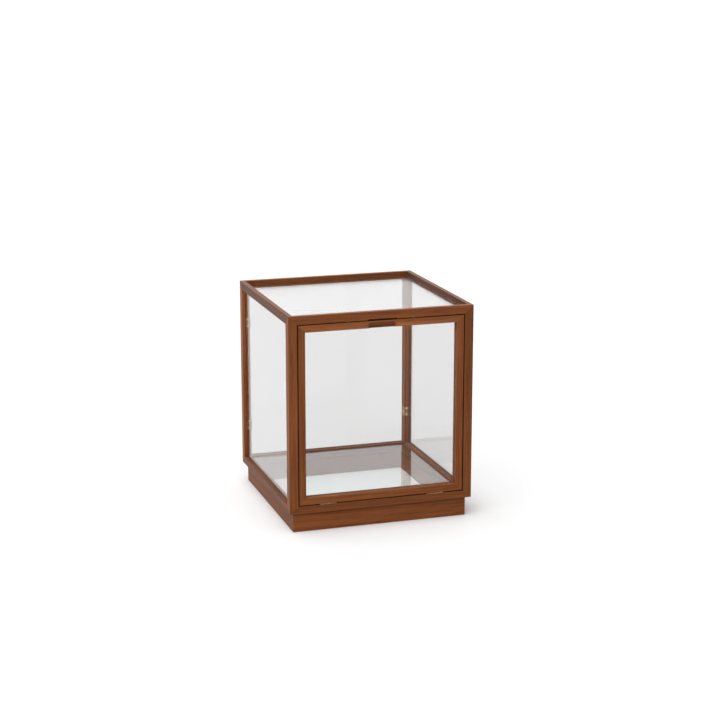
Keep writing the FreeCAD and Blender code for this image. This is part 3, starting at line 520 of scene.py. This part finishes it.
def in_door_gap(places):
    """Which places lie in the gap round the shut door, from inside its rounded front edges."""
    x, y, z = np.abs(places[:, X]), places[:, Y], places[:, Z]
    is_deep = (y > GAP_START - HALF) & (y < NEAR - DOOR_BACK)
    is_beside = ((x > DOOR_OUTER - GAP_EDGE) | (z > DOOR_TOP - GAP_EDGE)
                 | (z < DOOR_BOTTOM + GAP_EDGE))
    is_within = ((x < INNER + GAP_EDGE) & (z < OPENING_TOP + NOTCH_RISE + GAP_EDGE)
                 & (z > OPENING_BOTTOM - KNUCKLE_ROOM))
    return is_deep & is_beside & is_within


BOARDS = []   # nodes of the boards made so far
GRAIN_SHIFT = np.array([0.613, 0.0871, 0.0517])   # from the grain of one board to the next

# How much lighter or darker than the rest the boards are that the photograph shows
# Partly each board's own tone, partly painted shade or light on boards whose faces catch  too
# much or too little light, most on the rims and the boards at the left
BOARD_TONES_AND_PAINTED_LIGHT = {
    "post_front_left": 1.03, "post_front_right": 0.82, "post_rear_left": 1.25,
    "post_rear_right": 1.08, "top_rail_front": 0.97, "top_rail_rear": 0.85,
    "top_rail_left": 0.54, "top_rail_right": 0.5, "bottom_rail_front": 0.9,
    "bottom_rail_left": 0.74, "bottom_rail_rear": 0.85, "bottom_rail_right": 0.78,
    "plinth_front": 1.1, "plinth_left": 0.85, "door_stile_left": 0.89,
    "door_stile_right": 1.0, "door_rail_top": 1.2,
}

# Every other board gets LEAST_TONE + TONE_SPREAD * f, where f is what is left over of
# TONE_STEP times the number of boards made before it, once its whole part is taken off
LEAST_TONE = 0.92
TONE_SPREAD = 0.16
TONE_STEP = 0.618


def wooden(node, body, axis, sections, runs, low_caps=None, high_caps=None, crown=(),
           is_round=None, unshaded=1.0):
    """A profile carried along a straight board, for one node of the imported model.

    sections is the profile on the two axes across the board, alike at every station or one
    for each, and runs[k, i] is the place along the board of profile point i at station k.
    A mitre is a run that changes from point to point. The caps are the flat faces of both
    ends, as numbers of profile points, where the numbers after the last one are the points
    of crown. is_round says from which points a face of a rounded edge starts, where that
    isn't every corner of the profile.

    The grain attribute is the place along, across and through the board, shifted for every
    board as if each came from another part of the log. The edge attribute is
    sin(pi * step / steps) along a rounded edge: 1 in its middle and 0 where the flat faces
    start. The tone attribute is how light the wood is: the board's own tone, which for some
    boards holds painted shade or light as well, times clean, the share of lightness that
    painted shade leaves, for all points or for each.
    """
    runs = np.asarray(runs, float)
    stations, count = runs.shape
    across = [i for i in (X, Y, Z) if i != axis]
    rings = np.empty((stations, count, 3))
    rings[..., axis] = runs
    rings[..., across] = sections
    points = np.concatenate([rings.reshape(-1, 3), np.reshape(crown, (-1, 3))])

    step = np.arange(count) % (EDGE_STEPS + 1)
    if is_round is None:
        is_round = step < EDGE_STEPS
    edge = np.sin(pi * step / EDGE_STEPS) * is_round
    low_caps = low_caps or [list(range(count))]
    last = (stations - 1) * count
    caps = low_caps + [[last + i for i in cap] for cap in high_caps or low_caps]
    faces = side_faces(stations, count) + caps
    smooth = np.tile(is_round, stations - 1).tolist() + [False] * len(caps)

    board = len(BOARDS)
    BOARDS.append(node)
    # The board's tone, which for some boards holds painted shade or light
    tone = BOARD_TONES_AND_PAINTED_LIGHT.get(node, LEAST_TONE + (board * TONE_STEP) % 1 * TONE_SPREAD)
    unshaded = np.broadcast_to(unshaded, (stations, count)).ravel()
    crowned = (0, len(points) - stations * count)   # the crown is flat and has no painted shade
    piece = finish_mesh(f"{node}_board", points, faces, smooth, {
        "grain": points[:, [axis, *across]] + GRAIN_SHIFT * (board + 1),
        "edge": np.pad(np.tile(edge, stations), crowned),
        "tone": tone * np.pad(unshaded, crowned, constant_values=1.0),
    })
    piece.data.materials.append(OILED_WOOD)
    # Faces in the gap round the shut door get the wood with painted shade
    piece.data.materials.append(GAP_SHADE_WOOD)
    is_in_gap = in_door_gap(per_face(piece.data, "center", 3))
    piece.data.polygons.foreach_set("material_index", is_in_gap.astype(np.int32))
    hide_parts(node)
    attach(piece, body)


def handed(section, side):
    """A section on the right or at the back, moved to the left or the front."""
    return np.asarray(section) * (side, 1)


def both_ways(runs):
    """The same run at both ends of a board, one on each side of the middle."""
    return np.stack([-runs, runs])


def split_cap(count, first, second):
    """The end of a member with two mitres: the faces beside the ridge from first to second."""
    return [around(count, first, second), around(count, second, first)]


def corner_run(out, rise):
    """Where a rail ends in a three-way corner: INNER + width * min(share out, rise) - SEAM.

    The share out is 0 at the posts' inner faces and 1 at the cabinet's outside, and rise is
    0 at the opening and 1 at the cabinet's top or the rail's foot.
    """
    share = (out - INNER) / (HALF - INNER)
    return INNER + (HALF - INNER) * np.minimum(share, rise) - SEAM


def rise_at_top(z):
    return (z - OPENING_TOP) / (TOP - OPENING_TOP)


def rise_at_bottom(z):
    return (OPENING_BOTTOM - z) / (OPENING_BOTTOM - FLOOR_LEVEL)


def make_top_rails():
    """Rims with a ledge for the top glass, and grooves for the panes below.

    A profile is (distance out from the middle, height), carried from -corner_run to
    corner_run. The front rail has no groove, and between -PULL_HALF and PULL_HALF the outer
    part of its foot is NOTCH_RISE higher.
    """
    ridge_z = OPENING_TOP + (TOP - OPENING_TOP) * (RIM_INNER - INNER) / (HALF - INNER)
    rim = [(HALF, TOP, EASE), (RIM_INNER, TOP, EASE), (RIM_INNER, ridge_z, SHARP),
           (RIM_INNER, LEDGE_TOP, SHARP), (LEDGE_INNER, LEDGE_TOP, SLIGHT_EASE)]
    grooved = eased([
        (LEDGE_INNER, OPENING_TOP, SLIGHT_EASE), (GROOVE_NEAR, OPENING_TOP, SHARP),
        (GROOVE_NEAR, GROOVE_TOP, SHARP), (GROOVE_FAR, GROOVE_TOP, SHARP),
        (GROOVE_FAR, OPENING_TOP, SHARP), (HALF, OPENING_TOP, SLIGHT_EASE), *rim])
    runs = both_ways(corner_run(grooved[:, 0], rise_at_top(grooved[:, 1])))
    caps = split_cap(len(grooved), at_corner(6), at_corner(8))
    wooden("top_rail_rear", "cabinet", X, grooved, runs, caps)
    for side, name in SIDES.items():
        wooden(f"top_rail_{name}", "cabinet", Y, handed(grooved, side), runs, caps)

    def front_section(rise):
        return eased([(LEDGE_INNER, OPENING_TOP, SLIGHT_EASE),
                      (HALF - NOTCH_DEPTH, OPENING_TOP, SHARP),
                      (HALF - NOTCH_DEPTH, OPENING_TOP + rise, SHARP),
                      (HALF, OPENING_TOP + rise, SLIGHT_EASE), *rim])

    plain, notched = front_section(0), front_section(NOTCH_RISE)
    end = corner_run(plain[:, 0], rise_at_top(plain[:, 1]))
    notch = np.full_like(end, PULL_HALF)
    wooden("top_rail_front", "cabinet", X,
           handed(np.stack([plain, plain, notched, notched, plain, plain]), FRONT),
           np.stack([-end, -notch, -notch, notch, notch, end]),
           split_cap(len(plain), at_corner(4), at_corner(6)))


def make_bottom_rails():
    """Square rails with grooves for the panes, and room for the knuckles at the front.

    A profile is (distance out from the middle, height), carried from -corner_run to
    corner_run.
    """
    foot = [(INNER, FLOOR_LEVEL, SHARP), (HALF, FLOOR_LEVEL, EASE)]
    grooved = eased([
        *foot, (HALF, OPENING_BOTTOM, SLIGHT_EASE), (GROOVE_FAR, OPENING_BOTTOM, SHARP),
        (GROOVE_FAR, GROOVE_BOTTOM, SHARP), (GROOVE_NEAR, GROOVE_BOTTOM, SHARP),
        (GROOVE_NEAR, OPENING_BOTTOM, SHARP), (INNER, OPENING_BOTTOM, SLIGHT_EASE)])
    runs = both_ways(corner_run(grooved[:, 0], rise_at_bottom(grooved[:, 1])))
    caps = split_cap(len(grooved), at_corner(7), at_corner(1))
    wooden("bottom_rail_rear", "cabinet", X, grooved, runs, caps)
    for side, name in SIDES.items():
        wooden(f"bottom_rail_{name}", "cabinet", Y, handed(grooved, side), runs, caps)

    plain = eased([*foot, (HALF, OPENING_BOTTOM, SLIGHT_EASE),
                   (INNER, OPENING_BOTTOM, SLIGHT_EASE)])
    end = corner_run(plain[:, 0], rise_at_bottom(plain[:, 1]))
    with_knuckles("bottom_rail_front", "cabinet", plain, 2, -1, OPENING_BOTTOM, end,
                  split_cap(len(plain), at_corner(3), at_corner(1)))


def with_knuckles(node, body, plain, corner, upward, level, end, caps):
    """A front rail whose corner beside the hinge line is hollowed for both hinges.

    The hollow is an arc round the hinge axis: forward HALF - R sin t, and R cos t above or
    below the axis, with R = KNUCKLE_ROOM, from the rail's front to its face at that level.
    corner is the hollowed corner's number in the plain profile, and upward is 1 for a rail
    above the axis and -1 for one below it.
    """
    turn = np.linspace(0, acos(abs(HINGE_AXIS - level) / KNUCKLE_ROOM), EDGE_STEPS + 1)
    if upward > 0:
        turn = turn[::-1]
    hollow = plain.copy()
    hollow[at_corner(corner, 0):at_corner(corner, EDGE_STEPS) + 1] = np.stack(
        [HALF - KNUCKLE_ROOM * np.sin(turn),
         HINGE_AXIS + upward * KNUCKLE_ROOM * np.cos(turn)], axis=-1)
    sections, runs = [plain], [-end]
    for low, high in ((-HINGE_FAR, -HINGE_NEAR), (HINGE_NEAR, HINGE_FAR)):
        sections += [plain, hollow, hollow, plain]
        runs += [np.full_like(end, place) for place in (low, low, high, high)]
    sections.append(plain)
    runs.append(end)
    wooden(node, body, X, handed(np.stack(sections), FRONT), np.stack(runs), caps)


def make_posts():
    """Grooved posts with three-way mitres and a seat for the corner of the top glass.

    A profile is (distance to the side, distance to the front or back). It is carried from
    OPENING_BOTTOM - drop * least + SEAM up to OPENING_TOP + rise * least - SEAM, where
    least is the smaller of a point's two shares of the way from INNER to HALF. The crown
    is the seat's four corners, and the peak above the outermost of them.
    """
    side_groove = [(GROOVE_NEAR, INNER, SHARP), (GROOVE_NEAR, GROOVE_END, SHARP),
                   (GROOVE_FAR, GROOVE_END, SHARP), (GROOVE_FAR, INNER, SHARP)]
    rear_groove = [(b, a, SHARP) for a, b, _ in reversed(side_groove)]
    outside = [(HALF, INNER, SLIGHT_EASE), (HALF, HALF, EASE), (INNER, HALF, SLIGHT_EASE)]
    width, rise, drop = HALF - INNER, TOP - OPENING_TOP, OPENING_BOTTOM - FLOOR_LEVEL
    seat = INNER + width * (LEDGE_TOP - OPENING_TOP) / rise
    ridge_z = OPENING_TOP + rise * (RIM_INNER - INNER) / width
    crown = np.array([(seat, seat, LEDGE_TOP), (RIM_INNER, seat, LEDGE_TOP),
                      (seat, RIM_INNER, LEDGE_TOP), (RIM_INNER, RIM_INNER, LEDGE_TOP),
                      (RIM_INNER, RIM_INNER, ridge_z)])
    for end, end_name in ENDS.items():
        section = eased([(INNER, INNER, SLIGHT_EASE), *side_groove, *outside,
                         *(rear_groove if end == REAR else [])])
        count = len(section)
        least = (section.min(axis=1) - INNER) / width
        runs = np.stack([OPENING_BOTTOM - drop * least + SEAM,
                         OPENING_TOP + rise * least - SEAM])
        inner, across, through, deep, peak = range(count, count + len(crown))
        low_caps = split_cap(count, at_corner(0), at_corner(6))
        one, other = low_caps
        top_caps = [one + [peak, across, inner], other + [inner, through, peak],
                    [inner, across, deep, through], [across, peak, deep],
                    [through, deep, peak]]
        for side, side_name in SIDES.items():
            wooden(f"post_{end_name}_{side_name}", "cabinet", Z, section * (side, end),
                   runs, low_caps, top_caps, crown * (side, end, 1))


def make_plinth():
    """Boards mitred in plan, with the lower outer edge eased.

    A profile is (distance out from the middle, height), and each of its points ends as far
    along the board as it is out, less SEAM.
    """
    section = eased([(PLINTH_LOW.x, PLINTH_LOW.z, SLIGHT_EASE),
                     (PLINTH_HIGH.x, PLINTH_LOW.z, EASE),
                     (PLINTH_HIGH.x, PLINTH_HIGH.z, SLIGHT_EASE),
                     (PLINTH_LOW.x, PLINTH_HIGH.z, SHARP)])
    runs = both_ways(section[:, 0] - SEAM)
    for end, name in ENDS.items():
        wooden(f"plinth_{name}", "cabinet", X, handed(section, end), runs)
    for side, name in SIDES.items():
        wooden(f"plinth_{name}", "cabinet", Y, handed(section, side), runs)


def make_strip(node, axis):
    """A square-ended strip: a rectangle with eased corners, carried through the node's box."""
    low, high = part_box(node)
    a, b = [i for i in (X, Y, Z) if i != axis]
    section = eased([(low[a], low[b], SLIGHT_EASE), (high[a], low[b], SLIGHT_EASE),
                     (high[a], high[b], SLIGHT_EASE), (low[a], high[b], SLIGHT_EASE)])
    ends = np.full(len(section), low[axis]), np.full(len(section), high[axis])
    wooden(node, "cabinet", axis, section, np.stack(ends))


def make_strips():
    """The ledges that carry the floor glass, and the stops behind the door's sides."""
    for name in ENDS.values():
        make_strip(f"floor_ledge_{name}", X)
    for name in SIDES.values():
        make_strip(f"floor_ledge_{name}", Y)
        make_strip(f"door_stop_{name}", Z)


def door_run(share, sight, outer):
    """Where a member of the door ends: sight + (outer - sight) * share, less SEAM.

    share is 0 at the member's inner edge and 1 at its outer edge.
    """
    return sight + (outer - sight) * share - np.sign(outer - sight) * SEAM


def door_corners(outer, sight, rebate):
    """Lip, rebate and back of a door member, as (across, forward of the middle, ease)."""
    return [(outer, HALF, EASE), (sight, HALF, EASE),
            (sight, GLASS_FACE, SLIGHT_EASE), (rebate, GLASS_FACE, SHARP),
            (rebate, DOOR_BACK, SLIGHT_EASE), (outer, DOOR_BACK, SLIGHT_EASE)]


def make_door_stiles():
    """Upright members: a profile (to the side, forward), from door_run to door_run."""
    section = eased(door_corners(DOOR_OUTER, SIGHT, REBATE))
    share = (section[:, 0] - SIGHT) / MEMBER_WIDTH
    runs = np.stack([door_run(share, SIGHT_BOTTOM, DOOR_BOTTOM),
                     door_run(share, SIGHT_TOP, DOOR_TOP)])
    for side, name in SIDES.items():
        wooden(f"door_stile_{name}", "door", Z, section * (side, FRONT), runs)


def make_door_bottom_rail():
    """The lower member, hollowed for the hinges.

    A profile is (forward, height), carried from -door_run to door_run.
    """
    corners = door_corners(DOOR_BOTTOM, SIGHT_BOTTOM, REBATE_BOTTOM)
    corners[0] = (DOOR_BOTTOM, HALF, SLIGHT_EASE)
    section = eased(corners)[:, ::-1]
    share = (SIGHT_BOTTOM - section[:, 1]) / MEMBER_WIDTH
    with_knuckles("door_rail_bottom", "door", section, 0, 1, DOOR_BOTTOM,
                  door_run(share, SIGHT, DOOR_OUTER), None)


def pull_section(radius):
    """The top rail's section through the finger pull, where its cove has that radius.

    The cove is the arc (HALF + PULL_PROUD - r cos t, middle + r sin t) between the rail's
    face and either the face again or, once the arc reaches that low, the rail's foot.
    """
    middle = DOOR_TOP - PULL_DROP
    reach = acos(PULL_PROUD / radius)
    meets_foot = middle - radius * np.sin(reach) <= SIGHT_TOP
    lowest = asin((SIGHT_TOP - middle) / radius) if meets_foot else -reach
    turn = np.linspace(reach, lowest, PULL_STEPS)
    cove = np.stack([HALF + PULL_PROUD - radius * np.cos(turn),
                     middle + radius * np.sin(turn)], axis=-1)
    ease = float(np.clip(cove[-1, 1] - SIGHT_TOP, 0, EASE))
    forward = min(HALF, cove[-1, 0]) if ease == 0 else HALF
    return cove, (forward, SIGHT_TOP, ease)


def make_door_top_rail():
    """The rail with the finger pull: a cove that tapers at both ends.

    A profile is (forward, height). Along a tapered end the cove's radius falls evenly from
    PULL_RADIUS to PULL_TIP_RADIUS. The cove counts as rounded all over, and its wear and
    painted highlight and the foot's come in bands. Its painted shade is PULL_SHADE * depth *
    share, where depth grows to 1 at PULL_SHADE_DEPTH and share grows from PULL_SHADE_START at
    its top to 1 at its foot.
    """
    corners_before = 5   # corners of the profile that come before the cove
    ramp = np.linspace(0, 1, RAMP_STATIONS)
    radii = PULL_RADIUS + (PULL_TIP_RADIUS - PULL_RADIUS) * ramp
    places = PULL_HALF - PULL_RAMP * (1 - ramp)
    cove_start = at_corner(corners_before, 0)

    def section_with(cove, foot):
        corners = eased([(GLASS_FACE, SIGHT_TOP, SLIGHT_EASE), (GLASS_FACE, REBATE_TOP, SHARP),
                         (DOOR_BACK, REBATE_TOP, SLIGHT_EASE), (DOOR_BACK, DOOR_TOP, SLIGHT_EASE),
                         (HALF, DOOR_TOP, SLIGHT_EASE), foot])
        return np.concatenate([corners[:cove_start], cove, corners[cove_start:]])

    tip_heights = pull_section(PULL_TIP_RADIUS)[0][:, 1]
    flat = section_with(np.stack([np.full(PULL_STEPS, HALF), tip_heights], axis=-1),
                        (HALF, SIGHT_TOP, EASE))
    cut = [section_with(*pull_section(radius)) for radius in radii]
    sections = np.stack([flat, flat, *cut[::-1], *cut, flat, flat])
    end = door_run((flat[:, 1] - SIGHT_TOP) / MEMBER_WIDTH, SIGHT, DOOR_OUTER)
    between = [-PULL_HALF, *-places[::-1], *places, PULL_HALF]
    runs = np.stack([-end, *(np.full_like(end, place) for place in between), end])

    steps = np.arange(EDGE_STEPS + 1)
    step = np.concatenate([np.tile(steps, corners_before), np.zeros(PULL_STEPS, int), steps])
    downward = (np.arange(len(flat)) - cove_start) / PULL_STEPS
    is_in_cove = (downward > 0) & (downward < 1)
    # Painted shade in the pull's hollow, darkest where it is deep and at its foot
    depth = np.clip((HALF - sections[..., 0]) / PULL_SHADE_DEPTH, 0, 1)
    share = PULL_SHADE_START + (1 - PULL_SHADE_START) * downward
    wooden("door_rail_top", "door", X, handed(sections, FRONT), runs,
           is_round=step < EDGE_STEPS, unshaded=1 - PULL_SHADE * depth * share * is_in_cove)


def make_door_beads():
    """Small mitred beads behind the door's glass, eased where they show.

    An upright bead's profile is (to the side, forward), and a level one's is (forward,
    height). Each is carried between the door_runs of its two ends.
    """
    def bead(sight, rebate):
        return eased([(rebate, BEAD_FACE, SHARP), (sight, BEAD_FACE, SHARP),
                      (sight, DOOR_BACK, EASE), (rebate, DOOR_BACK, SLIGHT_EASE)])

    section = bead(SIGHT, REBATE)
    share = (section[:, 0] - SIGHT) / (REBATE - SIGHT)
    runs = np.stack([door_run(share, SIGHT_BOTTOM, REBATE_BOTTOM),
                     door_run(share, SIGHT_TOP, REBATE_TOP)])
    for side, name in SIDES.items():
        wooden(f"door_bead_{name}", "door", Z, section * (side, FRONT), runs)
    for name, sight, rebate in (("bottom", SIGHT_BOTTOM, REBATE_BOTTOM),
                                ("top", SIGHT_TOP, REBATE_TOP)):
        section = bead(sight, rebate)[:, ::-1]
        share = (section[:, 1] - sight) / (rebate - sight)
        wooden(f"door_bead_{name}", "door", X, handed(section, FRONT),
               both_ways(door_run(share, SIGHT, REBATE)))


def make_pane(node, body, glass):
    """A flat pane whose edges are ground to a small bevel.

    The outline is carried through the thickness at depths 0, c, d - c and d, drawn in by
    c, 0, 0 and c, where c is the bevel and d the thickness.
    """
    low, high = (np.array(corner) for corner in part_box(node))
    thin = int(np.argmin(high - low))
    wide = [i for i in (X, Y, Z) if i != thin]
    corner = np.array([(0, 0), (1, 0), (1, 1), (0, 1)])
    drawn_in = np.array([PANE_ARRIS, 0, 0, PANE_ARRIS])[:, None, None]
    rings = np.empty((4, 4, 3))
    rings[..., wide] = np.where(corner, high[wide] - drawn_in, low[wide] + drawn_in)
    rings[..., thin] = np.array([low[thin], low[thin] + PANE_ARRIS,
                                 high[thin] - PANE_ARRIS, high[thin]])[:, None]
    faces = side_faces(4, 4) + [[0, 1, 2, 3], [12, 13, 14, 15]]
    piece = finish_mesh(f"{node}_pane", rings.reshape(-1, 3), faces, [False] * len(faces))
    piece.data.materials.append(glass)
    piece.data.materials.append(GROUND_EDGE)
    areas = per_face(piece.data, "area").ravel()
    is_ground = areas <= areas.max() / 2
    piece.data.polygons.foreach_set("material_index", is_ground.astype(np.int32))
    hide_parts(node)
    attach(piece, body)


def make_panes():
    """The top, the three walls, the floor and the door's pane, each with its own glass."""
    make_pane("top_glass", "cabinet", TOP_GLASS)
    for name in ("rear_glass", "side_glass_left", "side_glass_right"):
        make_pane(name, "cabinet", WALL_GLASS)
    make_pane("floor_glass", "cabinet", FLOOR_GLASS)
    make_pane("door_glass", "door", DOOR_GLASS)


def finish_packed_pieces():
    """Brass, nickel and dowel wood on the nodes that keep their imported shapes.

    A node gets the first finish in the list whose words its name starts with.
    """
    finishes = {
        "pane_clip_screws": satin_brass("rubbed_brass", *SCREW_BRASS),
        "pane_clip": satin_brass("tarnished_brass", *CLIP_BRASS),
        "hinge": satin_brass("worn_brass", *HINGE_BRASS),
        "catch": nickel_plate(),
        "plinth_dowels": bare_wood(),
    }
    for name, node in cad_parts.items():
        finish = next((finishes[start] for start in finishes if name.startswith(start)), None)
        if finish:
            for place in node.material_slots:
                place.material = finish


# Studio

CAMERA_PLACE = (-1.117, -3.548, 1.217)
CAMERA_TURN = radians(17.71)
CAMERA_FALL = radians(13.70)
LENS = 88.45            # focal length in millimetres
SENSOR = 36.0           # width of the film in millimetres
FLOOR_REACH = 45.0      # middle of the floor to its edges, in metres
LAMP_STRENGTH = 2.8
LAMP_BREADTH = radians(75)
LAMP_TURN = (radians(17), radians(-22), 0)
ROOM_LIGHT = 1.08       # strength of the room's light where it is seen, and low at the back
FRONT_LIGHT = 0.25      # strength in front and above, for what it lights
LIGHT_SLOPE = -0.8      # what height counts for, where the way to the back counts for 1
LIGHT_SPAN = -0.6, 0.7  # sums of both between which FRONT_LIGHT turns to ROOM_LIGHT


def set_camera():
    """The photograph's view: from the left of the door and above it, through a long lens."""
    lens = bpy.data.cameras.new("photo_view")
    lens.lens, lens.sensor_width = LENS, SENSOR
    lens.clip_end = FLOOR_REACH * 3
    camera = bpy.data.objects.new("photo_view", lens)
    camera.location = CAMERA_PLACE
    camera.rotation_euler = (pi / 2 - CAMERA_FALL, 0, -CAMERA_TURN)
    bpy.context.collection.objects.link(camera)
    bpy.context.scene.camera = camera


def lay_floor():
    """A square floor whose edges are too far away to be seen."""
    corners = np.array([(-1, -1, 0), (1, -1, 0), (1, 1, 0), (-1, 1, 0)]) * FLOOR_REACH
    mesh = bpy.data.meshes.new("floor")
    mesh.from_pydata(corners.tolist(), [], [(0, 1, 2, 3)])
    mesh.materials.append(studio_floor())
    floor = bpy.data.objects.new("floor", mesh)
    bpy.context.collection.objects.link(floor)


def light_studio():
    """A pale room whose light is weaker from the front and above, and one broad lamp.

    The lamp shines from above, a little from the left and the front. Seen directly or
    through a pane, the room is plain white all round. Its light on the pieces goes from
    FRONT_LIGHT to ROOM_LIGHT as Y + LIGHT_SLOPE * Z of its direction crosses LIGHT_SPAN.
    """
    world = bpy.data.worlds.new("studio")
    bpy.context.scene.world = world
    world.use_nodes = True
    tree = world.node_tree
    tree.nodes.clear()
    way = add(tree, "ShaderNodeSeparateXYZ", {"Vector": coordinates(tree, "Generated")}).outputs
    backward = worked(tree, "MULTIPLY_ADD", way["Z"], LIGHT_SLOPE, way["Y"])
    level = ranged(tree, backward, *LIGHT_SPAN, FRONT_LIGHT, ROOM_LIGHT)
    path = add(tree, "ShaderNodeLightPath").outputs
    seen = worked(tree, "MAXIMUM", path["Is Camera Ray"], path["Is Transmission Ray"])
    shown = add(tree, "ShaderNodeMix", {MIX_SHARE: seen, MIX_LOW_NUMBER: level,
                                        MIX_HIGH_NUMBER: ROOM_LIGHT}).outputs[MIXED_NUMBER]
    glow = add(tree, "ShaderNodeBackground", {"Color": grey(1.0), "Strength": shown})
    tree.links.new(glow.outputs["Background"],
                   add(tree, "ShaderNodeOutputWorld").inputs["Surface"])
    sun = bpy.data.lights.new("broad_lamp", "SUN")
    sun.energy = LAMP_STRENGTH
    sun.angle = LAMP_BREADTH
    lamp = bpy.data.objects.new("broad_lamp", sun)
    lamp.rotation_euler = LAMP_TURN
    bpy.context.collection.objects.link(lamp)
    bpy.context.scene.view_settings.view_transform = "Standard"


make_posts()
make_top_rails()
make_bottom_rails()
make_plinth()
make_strips()
make_door_stiles()
make_door_bottom_rail()
make_door_top_rail()
make_door_beads()
make_panes()
finish_packed_pieces()
set_camera()
lay_floor()
light_studio()
